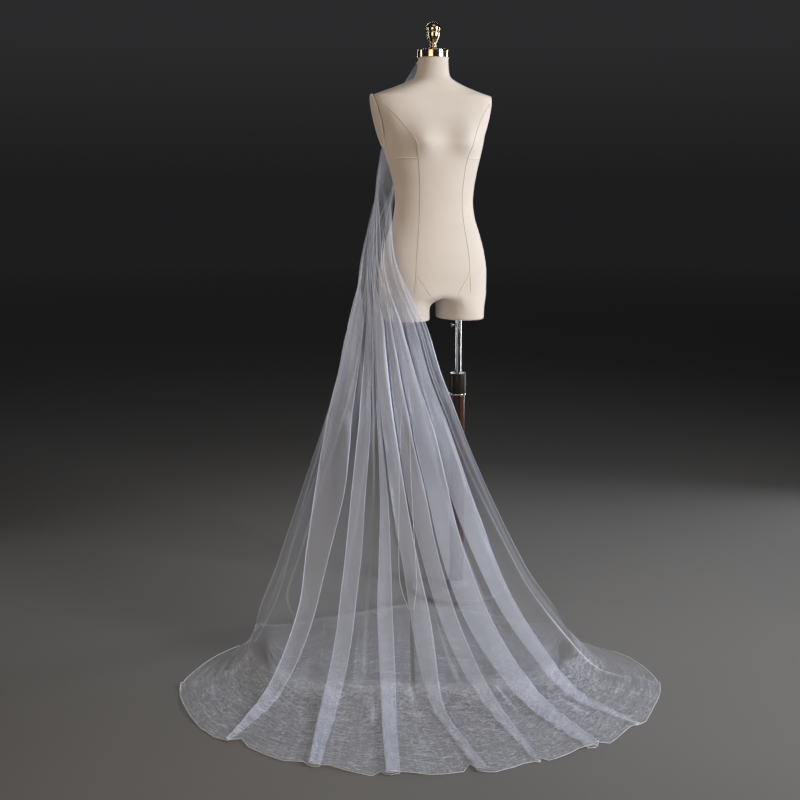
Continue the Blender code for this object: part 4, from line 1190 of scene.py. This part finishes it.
def grown(piece, tree, values):
    """The piece with a node tree run on it once, as a plain mesh in the same place."""
    modifier = piece.modifiers.new("grow", "NODES")
    modifier.node_group = tree
    for item in tree.interface.items_tree:
        if item.item_type == "SOCKET" and item.in_out == "INPUT" and item.name in values:
            modifier[item.identifier] = values[item.name]
    bpy.context.view_layer.update()
    seen = piece.evaluated_get(bpy.context.evaluated_depsgraph_get())
    mesh = bpy.data.meshes.new_from_object(seen)
    mesh.name = piece.name
    piece.modifiers.remove(modifier)
    old = piece.data
    piece.data = mesh
    bpy.data.meshes.remove(old)
    return piece


# ---------------------------------------------------------------- heading, hem and comb

def heading_rows(count, steps):
    """Points just outside the panel's top edge, and the way outwards, for the binding."""
    marks = np.linspace(HEADING_INSET, len(FOLDS) - HEADING_INSET, steps)
    proud = GATHER_HEIGHT + WALL / 2 + SEAM_GAP + HEADING_EASE
    rows, outs = [], []
    for level in np.linspace(*HEADING_ROWS, count):
        row = large_form(level, marks)
        down = large_form(level + 0.1, marks) - row
        outward = unit(np.cross(down, np.gradient(row, axis=0)))
        rows.append(row + outward * proud)
        outs.append(outward)
    return np.stack(rows), np.stack(outs)


def make_heading(satin):
    """The satin binding: a soft band, rounded over at both edges, drawn in by the gathers."""
    rows, outward = heading_rows(*HEADING_GRID)
    count, columns = rows.shape[:2]
    v = np.linspace(-1, 1, count)[:, None]
    u = np.linspace(0, 1, columns)[None, :]
    swell = (1 - np.abs(v) ** 5) * (1 - np.abs(2 * u - 1) ** 24)
    tucks = TUCK_HEIGHT * np.sin(2 * math.pi * TUCKS * u + 0.8 * np.sin(3 * v)) * (1 - v * v)
    thick = HEADING_THICK * (0.25 + 0.70 * swell) + tucks
    outer = rows + outward * thick[..., None]
    size = count * columns
    vertices = np.concatenate([outer.reshape(-1, 3), rows.reshape(-1, 3)])
    faces = []
    for quad in band(count, columns, closed=False):
        faces += [quad, tuple(size + k for k in quad[::-1])]
    rim = list(range(columns)) + [i * columns + columns - 1 for i in range(1, count)]
    rim += [(count - 1) * columns + j for j in range(columns - 2, -1, -1)]
    rim += [i * columns for i in range(count - 2, 0, -1)]
    faces += [(a, b, size + b, size + a) for a, b in zip(rim, rim[1:] + rim[:1])]
    return link_mesh("heading", vertices, faces, satin, 60.0)


def make_heading_stitches(thread):
    """A row of stitches along each edge of the binding."""
    rows, outward = heading_rows(*HEADING_GRID)
    lines = [rows[row] + outward[row] * HEADING_THICK * 0.93 for row in (2, 10)]
    piece = path_object("heading_stitches", [(line[6:-6], False) for line in lines])
    return grown(piece, STITCHES, {"Spacing": 0.0034, "Length": 0.0022, "Radius": 0.00025,
                                   "Material": thread})


def make_hem(grid, thread):
    """The rolled edge along the hem and both side edges."""
    place = veil_row(HEM)[2]
    bearing = np.interp(place, np.arange(len(FOLDS)) + 0.5, column(FOLDS, 3))
    shown = np.abs(bearing) < TUCK_FROM
    leaving, landed = (int(grid.shape[0] * share) for share in HEM_SIDES)
    runs = []
    for run in (grid[leaving:landed, 0], grid[-1, shown], grid[leaving:landed, -1]):
        run = [p for i, p in enumerate(run) if i == 0 or np.linalg.norm(p - run[i - 1]) > HEM_GAP]
        run = np.array(run)
        run[:, 2] = np.maximum(run[:, 2], HEM_RADIUS)
        runs.append((run, False))
    piece = path_object("hem", runs)
    return grown(piece, TUBE, {"Radius": HEM_RADIUS, "Sides": 6, "Material": thread})


def comb_frame():
    """Where the comb starts, which way it runs and which way it faces inwards."""
    middle = large_form(0.0, np.array([len(FOLDS) / 2]))[0]
    left, right = large_form(0.0, np.array([0.0, len(FOLDS)]))
    along = unit(right - left)
    inward = np.array([along[1], -along[0], 0.0])
    if inward[1] > 0:
        inward = -inward
    start = middle + inward * (WALL / 2 + SEAM_GAP + 0.0004) - np.array([0, 0, 0.002])
    return start, along, inward


def make_comb(plastic):
    """A plain comb: a rounded bar with bent teeth that hang towards the nape."""
    start, along, inward = comb_frame()
    deep = COMB_THICK / 2
    vertices = []
    sides, lengths = 16, 40
    for i in range(lengths + 1):
        s = (i / lengths - 0.5) * COMB_WIDTH
        end = 1 - 0.55 * max(abs(2 * i / lengths - 1) - 0.94, 0) / 0.06
        for k in range(sides):
            angle = 2 * math.pi * k / sides
            wide, tall = [size * np.sign(part) * abs(part) ** 0.6 * end for size, part in
                          ((deep, math.cos(angle)), (COMB_BAR / 2, math.sin(angle)))]
            vertices.append(start + along * s + inward * (deep + wide)
                            + np.array([0, 0, -COMB_BAR / 2 + tall]))
    bar = link_mesh("comb_bar", vertices, capped(lengths + 1, sides), plastic, 60.0)
    inset = COMB_WIDTH / 2 - 0.0016
    root = start + inward * deep + np.array([0, 0, -COMB_BAR + 0.0008])
    line = path_object("comb_teeth", [([root - along * inset, root + along * inset], False)])
    teeth = grown(line, TEETH, {"Count": COMB_TEETH, "Length": COMB_TOOTH,
                                "Radius": COMB_THICK * 0.46, "Bend": tuple(inward * 0.0012),
                                "Material": plastic})
    return bar, teeth


# ---------------------------------------------------------------- the dress form

def form_middle(z):
    """The form's middle at a height: its x, and how far back it stands."""
    lean = fade(LEAN_FROM, LEAN_TO, z)
    return BODY_ACROSS + LEAN_ACROSS * lean, LEAN_BACK * lean


def body_section(z):
    """The body's half width, half depth, back and squareness at a height, and its middle."""
    heights = [-row[0] for row in BODY_RINGS]
    return ([ease(heights, column(BODY_RINGS, i), -z) for i in (1, 2, 3, 4)], *form_middle(z))


def body_at(z, angle):
    """Points of the body at a height, by angle from its left side round the back."""
    (wide, deep, back, square), middle, behind = body_section(z)
    x, y = [size * np.sign(part) * np.abs(part) ** (2 / square)
            for size, part in ((wide, np.cos(angle)), (deep, np.sin(angle)))]
    tall = BUST_ABOVE if z > BUST_Z else BUST_BELOW
    for side in (-1, 1):
        near = ((x - side * BUST_ACROSS) / BUST_SPREAD) ** 2 + ((z - BUST_Z) / tall) ** 2
        y = y - np.where(y < 0, BUST_OUT * np.exp(-near), 0) * np.clip(-y / deep, 0, 1)
    return np.stack([x + middle, y + back + behind, np.full(np.shape(angle), z)], axis=-1)


def body_rows():
    """Heights of the body's rows, closer where its outline turns."""
    rows = []
    for upper, lower in zip(BODY_RINGS, BODY_RINGS[1:]):
        steps = max(3, round((upper[0] - lower[0]) / BODY_STEP))
        rows += [upper[0] + (lower[0] - upper[0]) * i / steps for i in range(steps)]
    rows.append(BODY_RINGS[-1][0])
    return rows


def armhole_boss(points):
    """The cover drawn out to each arm plate's inner face, with a soft shoulder round it."""
    middle, behind = form_middle(ARM_PLATE_Z)
    reach = abs(body_at(ARM_PLATE_Z, np.array([0.0]))[0][0] - middle) - SEAM_GAP
    x = points[:, 0] - middle
    deep = (points[:, 1] - ARM_PLATE_BACK - behind) / (ARM_PLATE_DEEP / 2)
    tall = (points[:, 2] - ARM_PLATE_Z) / (ARM_PLATE_TALL / 2)
    off = np.hypot(deep, tall)
    plane = reach + (points[:, 2] - ARM_PLATE_Z) * math.tan(math.radians(ARM_PLATE_TILT))
    share = (1 - fade(1.0, 1.9, off)) * (1 - fade(SHOULDER_Z, SHOULDER_Z + 0.010, points[:, 2]))
    share = share * fade(0.09, 0.12, np.abs(x))
    goal = np.abs(x) * (1 - share) + np.maximum(np.abs(x), plane) * share
    goal = np.where(off < 1.0, np.minimum(goal, plane), goal)
    points[:, 0] = np.where(points[:, 2] > LEAN_TO - 0.06, middle + np.sign(x) * goal, points[:, 0])
    return points


def make_body(linen):
    """Neck to hips in one skin that parts into two short legs."""
    columns = BODY_COLUMNS
    turn = around(columns)
    rows = body_rows()
    vertices = [point for z in rows for point in body_at(z, turn)]
    faces = [(a, d, c, b) for a, b, c, d in band(len(rows), columns)]
    faces.append(tuple(range(columns)))

    # the line between the legs, from the back over the crotch to the front
    hip = (len(rows) - 1) * columns
    back_mid, front_mid = columns // 4, 3 * columns // 4
    saddle = []
    back_point, front_point = [np.array(vertices[hip + i]) for i in (back_mid, front_mid)]
    for i in range(1, SADDLE_POINTS + 1):
        u = i / (SADDLE_POINTS + 1)
        point = back_point + (front_point - back_point) * u
        point[2] = point[2] + (CROTCH_Z - point[2]) * math.sin(math.pi * u) ** 0.35
        saddle.append(len(vertices))
        vertices.append(point)
    drop = CROTCH_Z - STUB_BOTTOM_Z
    levels = [drop * f for f in (0.08, 0.17, 0.27, 0.38, 0.5, 0.62, 0.74, 0.85)]
    levels.append(drop - STUB_ROUND)
    for side in (1, -1):
        first = front_mid if side > 0 else back_mid
        top = [hip + (first + i) % columns for i in range(columns // 2 + 1)] + saddle[::side]
        start = np.array([vertices[i] for i in top])
        centre = np.array([BODY_ACROSS + side * STUB_OFFSET, STUB_BACK])
        bearing = np.arctan2((start[:, 1] - centre[1]) / STUB_HALF_DEPTH,
                             (start[:, 0] - centre[0]) / STUB_HALF_WIDTH)
        goal = np.stack([centre[0] + STUB_HALF_WIDTH * np.cos(bearing),
                         centre[1] + STUB_HALF_DEPTH * np.sin(bearing)], axis=-1)
        settle = 0.40 + 0.60 * fade(0.03, 0.13, np.abs(start[:, 0] - BODY_ACROSS))
        rings = []
        for low in levels:
            share = fade(0.0, settle, low / drop)[:, None] ** 0.8
            rings.append((start[:, :2] + (goal - start[:, :2]) * share, CROTCH_Z - low))
        for step in range(1, 6):
            angle = math.pi / 2 * step / 5
            rings.append((goal - unit(goal - centre) * (STUB_ROUND * (1 - math.cos(angle))),
                          STUB_BOTTOM_Z + STUB_ROUND * (1 - math.sin(angle))))
        last = top
        for spots, z in rings:
            ring = list(range(len(vertices), len(vertices) + len(top)))
            vertices.extend(np.array([*spot, z]) for spot in spots)
            faces += [(last[i - 1], ring[i - 1], ring[i], last[i])
                      for i in (*range(1, len(top)), 0)]
            last = ring
        faces.append(tuple(last[::-1]))
    piece = link_mesh("form_cover", armhole_boss(np.array(vertices)), faces, linen, 50.0)
    work = bmesh.new()
    work.from_mesh(piece.data)
    fork = [v for v in work.verts
            if abs(v.co.x - BODY_ACROSS) < FORK_REACH and FORK_FROM < v.co.z < FORK_TO]
    for _ in range(FORK_PASSES):
        bmesh.ops.smooth_vert(work, verts=fork, factor=0.5, use_axis_x=True, use_axis_y=True,
                              use_axis_z=True)
    work.to_mesh(piece.data)
    work.free()
    piece.data.shade_smooth()
    piece.data.set_sharp_from_angle(angle=math.radians(50))
    return piece


def on_front(z, across, back=False):
    """A point of the cover at a height and at a distance from the form's middle."""
    turns = np.linspace(0, math.pi, 721) * (1 if back else -1)
    ring = body_at(z, turns)
    order = np.argsort(ring[:, 0])
    middle = form_middle(z)[0]
    y = np.interp(across + middle, ring[order, 0], ring[order, 1])
    return armhole_boss(np.array([[across + middle, y, z]]))[0]


def seam_runs(beside):
    """The cover's seams as lines on its surface, moved a little towards its middle."""
    runs = []
    for table, back in ((PRINCESS_FRONT, False), (PRINCESS_BACK, True)):
        heights = column(table, 0)
        fine = np.arange(heights[0], heights[-1], -0.006)
        across = ease([-h for h in heights], column(table, 1), -fine) - beside
        for side in (-1, 1):
            runs.append(([on_front(z, side * a, back) for z, a in zip(fine, across)], False))
    for side in (-1, 1):
        runs.append(([on_front(z, side * (a - beside)) for z, a in THIGH_SEAM], False))
    for side in (0.0, math.pi):
        fine = np.arange(*SIDE_SEAM, -SEAM_STEP)
        runs.append(([body_at(z, np.array([side]))[0] for z in fine], False))
    fine = np.arange(*BACK_SEAM, -SEAM_STEP)
    runs.append(([on_front(z, 0.0, True) for z in fine], False))
    for side in (-1, 1):
        across = np.linspace(*BUST_DART, 14)
        runs.append(([on_front(BUST_DART_Z - beside, side * a) for a in across], False))
    return runs


def make_seams(cord, shade):
    """Each seam's raised edge, half sunk in the cover, and beside it a dark thread that is painted
    shade.
    """
    raised = grown(path_object("cover_seams", seam_runs(0.0)), TUBE,
                   {"Radius": SEAM_RADIUS, "Sides": 8, "Material": cord})
    # the dark thread is painted shade where the seam's edge would shade the cover
    sunk = grown(path_object("cover_seam_lines", seam_runs(SEAM_BESIDE)), TUBE,
                 {"Radius": SEAM_RADIUS * 0.7, "Sides": 6, "Material": shade})
    return raised, sunk


def make_arm_plate(name, side, linen, cord):
    """A covered oval plate over the armhole, with piping round its outer edge."""
    steps = ARM_PLATE_STEPS
    tilt = math.radians(ARM_PLATE_TILT)
    middle, behind = form_middle(ARM_PLATE_Z)
    reach = abs(body_at(ARM_PLATE_Z, np.array([0.0]))[0][0] - middle) + SEAM_GAP
    place = np.array([middle + side * reach, ARM_PLATE_BACK + behind, ARM_PLATE_Z])
    turn = around(steps)

    def ring(out, size):
        deep = ARM_PLATE_DEEP / 2 * size * np.cos(turn)
        tall = ARM_PLATE_TALL / 2 * size * np.sin(turn)
        x = out * math.cos(tilt) + tall * math.sin(tilt)
        z = tall * math.cos(tilt) - out * math.sin(tilt)
        return place + np.stack([side * x, deep, z], axis=-1)

    layers = [(0.0, 0.985), (0.0006, 0.995), (0.0014, 1.0), (ARM_PLATE_THICK - 0.0014, 1.0),
              (ARM_PLATE_THICK - 0.0005, 0.985)]
    layers += [(ARM_PLATE_THICK + ARM_PLATE_DOME * (1 - size * size) - 0.0004, size)
               for size in (0.95, 0.85, 0.7, 0.5, 0.3, 0.1)]
    vertices = np.concatenate([ring(*layer) for layer in layers])
    last = (len(layers) - 1) * steps
    ends = [tuple(range(steps)), tuple(range(last, last + steps))]
    plate = link_mesh(name, vertices, ends + band(len(layers), steps), linen, 60.0)
    edge = path_object(name + "_piping", [(ring(ARM_PLATE_THICK - 0.0018, 1.008), True)])
    return plate, grown(edge, TUBE, {"Radius": 0.0026, "Sides": 10, "Material": cord})


def make_thumbscrew(metal):
    """The small screw at the tube's top, with a flat head that is turned by hand."""
    profile = [(0.0022, 0.0), (0.0022, SCREW_REACH * 0.55), (SCREW_HEAD * 0.8, SCREW_REACH * 0.58),
               (SCREW_HEAD, SCREW_REACH * 0.68), (SCREW_HEAD, SCREW_REACH * 0.92),
               (SCREW_HEAD * 0.8, SCREW_REACH)]
    piece = turned("thumbscrew", rounded(profile, 0.0006), metal, (0, 0, 0), 48)
    across = Matrix.Rotation(math.radians(-90), 4, "Y")
    place = Matrix.Translation((-TUBE_RADIUS * 0.9, 0, SCREW_Z))
    piece.data.transform(place @ across)
    return piece


def make_neck_cap(brass):
    """The cap, with a skirt over the top of the neck."""
    radius = BODY_RINGS[0][1] + 0.0034
    bottom = BODY_RINGS[0][0] + SEAM_GAP
    profile = [(radius - 0.0006, -CAP_SKIRT), (radius, 0.0008 - CAP_SKIRT),
               (radius, CAP_RISE - 0.0028),
               (radius - 0.0012, CAP_RISE - 0.0006), (radius - 0.0042, CAP_RISE - 0.0001),
               (radius - 0.006, CAP_RISE - 0.0012), (0.02, CAP_RISE - 0.0012), (0.013, CAP_RISE)]
    middle, behind = form_middle(bottom)
    place = (middle, BODY_RINGS[0][3] + behind, bottom)
    return turned("neck_cap_brass", rounded(profile, 0.0008), brass, place)


def make_finial(brass):
    """The turned knob on the cap."""
    bottom = BODY_RINGS[0][0] + SEAM_GAP + CAP_RISE + SEAM_GAP
    middle, behind = form_middle(bottom)
    place = (middle, BODY_RINGS[0][3] + behind, bottom)
    profile = rounded(FINIAL_PROFILE + [(0.0008, 0.0800)], 0.0035, 5)
    return turned("finial_brass", profile, brass, place, steps=64, angle=55.0)


# ---------------------------------------------------------------- the stand

def make_stand(chrome, collar, wood, paint):
    """The pole, its collar and the base, each with softened edges."""
    def straight(radius, height, inset, rise):
        """The profile of a round bar with softened ends."""
        return [(radius - inset, 0.0), (radius, rise), (radius, height - rise),
                (radius - inset, height)]

    foot_top = BASE_THICK + SEAM_GAP + FOOT_HEIGHT
    length = COLLAR_BOTTOM - RING_HEIGHT - 3 * SEAM_GAP - foot_top
    tall = COLLAR_TOP - COLLAR_BOTTOM
    socket_bottom = STUB_BOTTOM_Z - SEAM_GAP - SOCKET_HEIGHT
    tube_bottom = COLLAR_TOP + SEAM_GAP
    groove = COLLAR_RADIUS - 0.0008
    parts = [
        # node, name, profile, rounding, finish, bottom, steps
        ("stand_base", "base_disc",
         [(BASE_RADIUS - 0.0015, 0.0), (BASE_RADIUS, 0.0015), (BASE_RADIUS, BASE_THICK - 0.003),
          (BASE_RADIUS - 0.003, BASE_THICK - 0.0004), (BASE_RADIUS - 0.012, BASE_THICK),
          (FOOT_RADIUS, BASE_THICK)], 0.0022, paint, 0, 128),
        ("stand_foot", "base_foot",
         [(FOOT_RADIUS, 0.0), (FOOT_RADIUS, 0.004), (FOOT_RADIUS - 0.008, 0.010),
          (POLE_RADIUS + 0.006, FOOT_HEIGHT - 0.003), (POLE_RADIUS + 0.004, FOOT_HEIGHT)],
         0.003, paint, BASE_THICK + SEAM_GAP, TURN_STEPS),
        ("pole_wood", "pole_lower", straight(POLE_RADIUS, length, 0.0008, 0.0012),
         0.0008, wood, foot_top + SEAM_GAP, TURN_STEPS),
        ("pole_ring", "collar_ring", straight(COLLAR_RADIUS + 0.0012, RING_HEIGHT, 0.0022, 0.0013),
         0.0016, chrome, COLLAR_BOTTOM - SEAM_GAP - RING_HEIGHT, TURN_STEPS),
        ("pole_collar", "collar",
         [(COLLAR_RADIUS - 0.0015, 0.0), (COLLAR_RADIUS, 0.0015), (COLLAR_RADIUS, tall - 0.0075),
          (groove, tall - 0.0068), (groove, tall - 0.0052), (COLLAR_RADIUS, tall - 0.0045),
          (COLLAR_RADIUS, tall - 0.0015), (COLLAR_RADIUS - 0.0015, tall),
          (TUBE_RADIUS + 0.004, tall), (TUBE_RADIUS + 0.002, tall - 0.0015)],
         0.001, collar, COLLAR_BOTTOM, TURN_STEPS),
        ("tube_socket", "socket_plate",
         [(TUBE_RADIUS + 0.002, 0.0), (SOCKET_RADIUS - 0.0015, 0.0), (SOCKET_RADIUS, 0.0015),
          (SOCKET_RADIUS, SOCKET_HEIGHT)], 0.001, chrome, socket_bottom, TURN_STEPS),
        ("pole_tube", "inner_tube",
         straight(TUBE_RADIUS, socket_bottom - SEAM_GAP - tube_bottom, 0.0004, 0.0006),
         0.0004, chrome, tube_bottom, 64),
    ]
    return {node: turned(name, rounded(profile, radius), finish, (0, 0, bottom), steps)
            for node, name, profile, radius, finish, bottom, steps in parts}


# ---------------------------------------------------------------- studio

def make_studio():
    """A plain pale floor under soft studio light."""
    corners = [(x * FLOOR_REACH, y * FLOOR_REACH, 0)
               for x, y in ((-1, -1), (1, -1), (1, 1), (-1, 1))]
    floor_mesh = new_mesh("floor", corners, faces=[(0, 1, 2, 3)])
    floor = linked("floor", floor_mesh)
    material, tree, shader = new_material("floor", (0.155, 0.155, 0.158), 0.85)
    place = object_place(tree)
    away = add(tree, "ShaderNodeVectorMath", {0: place}, operation="LENGTH").outputs["Value"]
    # the emission is a painted glow on the far floor that fades it into the sky
    feed(shader, Base_Color=tint(tree, patches(tree, place, 1.2), (0.150, 0.150, 0.153),
                                 (0.160, 0.160, 0.163)),
         Emission_Color=tint(tree, spread(tree, away, FAR_FROM, FAR_TO, 0.0, 1.0), (0, 0, 0),
                             FAR_GLOW))
    shader.inputs["Emission Strength"].default_value = 1.0
    floor_mesh.materials.append(material)

    world = bpy.data.worlds.new("studio")
    world.use_nodes = True
    tree = world.node_tree
    height = add(tree, "ShaderNodeSeparateXYZ",
                 {0: add(tree, "ShaderNodeTexCoord").outputs["Generated"]}).outputs[2]
    tree.links.new(tint(tree, spread(tree, height, 0.0, 0.11, 0.0, 1.0), *SKY),
                   tree.nodes["Background"].inputs[0])
    bpy.context.scene.world = world

    for name, place, aim, wide, tall, power, beam, colour in LAMPS:
        lamp = bpy.data.lights.new(name, "AREA")
        lamp.shape = "RECTANGLE"
        lamp.size = wide
        lamp.size_y = tall
        lamp.energy = power
        lamp.spread = math.radians(beam)
        lamp.color = colour
        light = linked(name, lamp)
        light.visible_camera = False
        light.location = place
        light.rotation_euler = (Vector(aim) - Vector(place)).to_track_quat("-Z", "Y").to_euler()


def make_camera():
    """The camera of the main view."""
    lens = bpy.data.cameras.new("camera")
    lens.lens = CAMERA_LENS
    lens.sensor_width = 36.0
    lens.clip_end = 60.0
    camera = linked("camera", lens)
    camera.location = CAMERA_PLACE
    camera.rotation_euler = Euler([math.radians(a) for a in CAMERA_TURN])
    bpy.context.scene.camera = camera


# ---------------------------------------------------------------- the scene

make_camera()
PLAIN_WEAVE = make_woven_group()
SLOW_PATCHES = make_patches_group()
RUBBED_MARKS = make_marks_group()
TUBE = make_tube_tree()
STITCHES = make_stitch_tree()
TEETH = make_teeth_tree()

tulle = make_tulle()
satin = make_satin()
linen = make_linen()
plastic = make_comb_plastic()
hem_thread = make_thread("hem_thread", (0.86, 0.88, 0.93))
heading_thread = make_thread("heading_thread", (0.90, 0.90, 0.92))
# the seam cord is lighter than the cover, partly its own tone and partly a painted highlight on the
# seam's raised edge
seam_cord = make_thread("seam_cord", (0.86, 0.80, 0.72))
# a dark thread laid beside each seam as painted shade
seam_painted_shade = make_thread("seam_painted_shade", (0.48, 0.40, 0.32))
# the piping is lighter than the cover, partly its own tone and partly a painted highlight on its
# rim
piping_cord = make_thread("piping_cord", (0.90, 0.86, 0.80))
brass = make_metal("polished_brass", (0.58, 0.48, 0.36), (0.36, 0.28, 0.19), 0.09, 0.22)
chrome = make_metal("polished_chrome", (0.78, 0.79, 0.81), (0.68, 0.69, 0.71), 0.07, 0.22)
collar_finish = make_paint("collar_finish", (0.022, 0.015, 0.011), (0.012, 0.009, 0.007),
                           0.24, 0.44)
wood = make_wood()
base_paint = make_paint("base_paint", (0.150, 0.150, 0.155), (0.120, 0.120, 0.125), 0.60, 0.74)

veil, veil_grid = make_veil(tulle)
hem = make_hem(veil_grid, hem_thread)
heading = make_heading(satin)
stitches = make_heading_stitches(heading_thread)
comb_bar, comb_teeth = make_comb(plastic)
body = make_body(linen)
seams, seam_painted_shade_lines = make_seams(seam_cord, seam_painted_shade)
plate_left, piping_left = make_arm_plate("arm_plate_cover_left", 1, linen, piping_cord)
plate_right, piping_right = make_arm_plate("arm_plate_cover_right", -1, linen, piping_cord)
neck_cap = make_neck_cap(brass)
finial = make_finial(brass)
stand = make_stand(chrome, collar_finish, wood, base_paint)
screw = make_thumbscrew(chrome)
make_studio()

for piece, nodes, slot in (
        (veil, ["veil_panel"], "tulle"), (hem, [], "tulle"),
        (heading, ["veil_heading"], "satin"), (stitches, [], "satin"),
        (comb_bar, ["veil_comb"], "comb"), (comb_teeth, [], "comb"),
        (body, ["form_body"], "linen"), (seams, [], "linen"),
        (seam_painted_shade_lines, [], "linen"),
        (plate_left, ["arm_plate_left"], "linen"), (piping_left, [], "linen"),
        (plate_right, ["arm_plate_right"], "linen"), (piping_right, [], "linen"),
        (neck_cap, ["neck_cap"], "brass"), (finial, ["finial"], "brass"),
        *[(stand[node], [node], slot) for node, slot in (
            ("stand_base", "base_plate"), ("stand_foot", "base_plate"),
            ("pole_wood", "dark_wood"), ("pole_ring", "chrome"), ("pole_collar", "dark_collar"),
            ("tube_socket", "chrome"), ("pole_tube", "chrome"))],
        (screw, [], "chrome")):
    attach(piece, "root")
    if nodes:
        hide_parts(*nodes)

bpy.context.scene.cycles.transparent_max_bounces = 64
bpy.context.scene.view_settings.view_transform = "Standard"
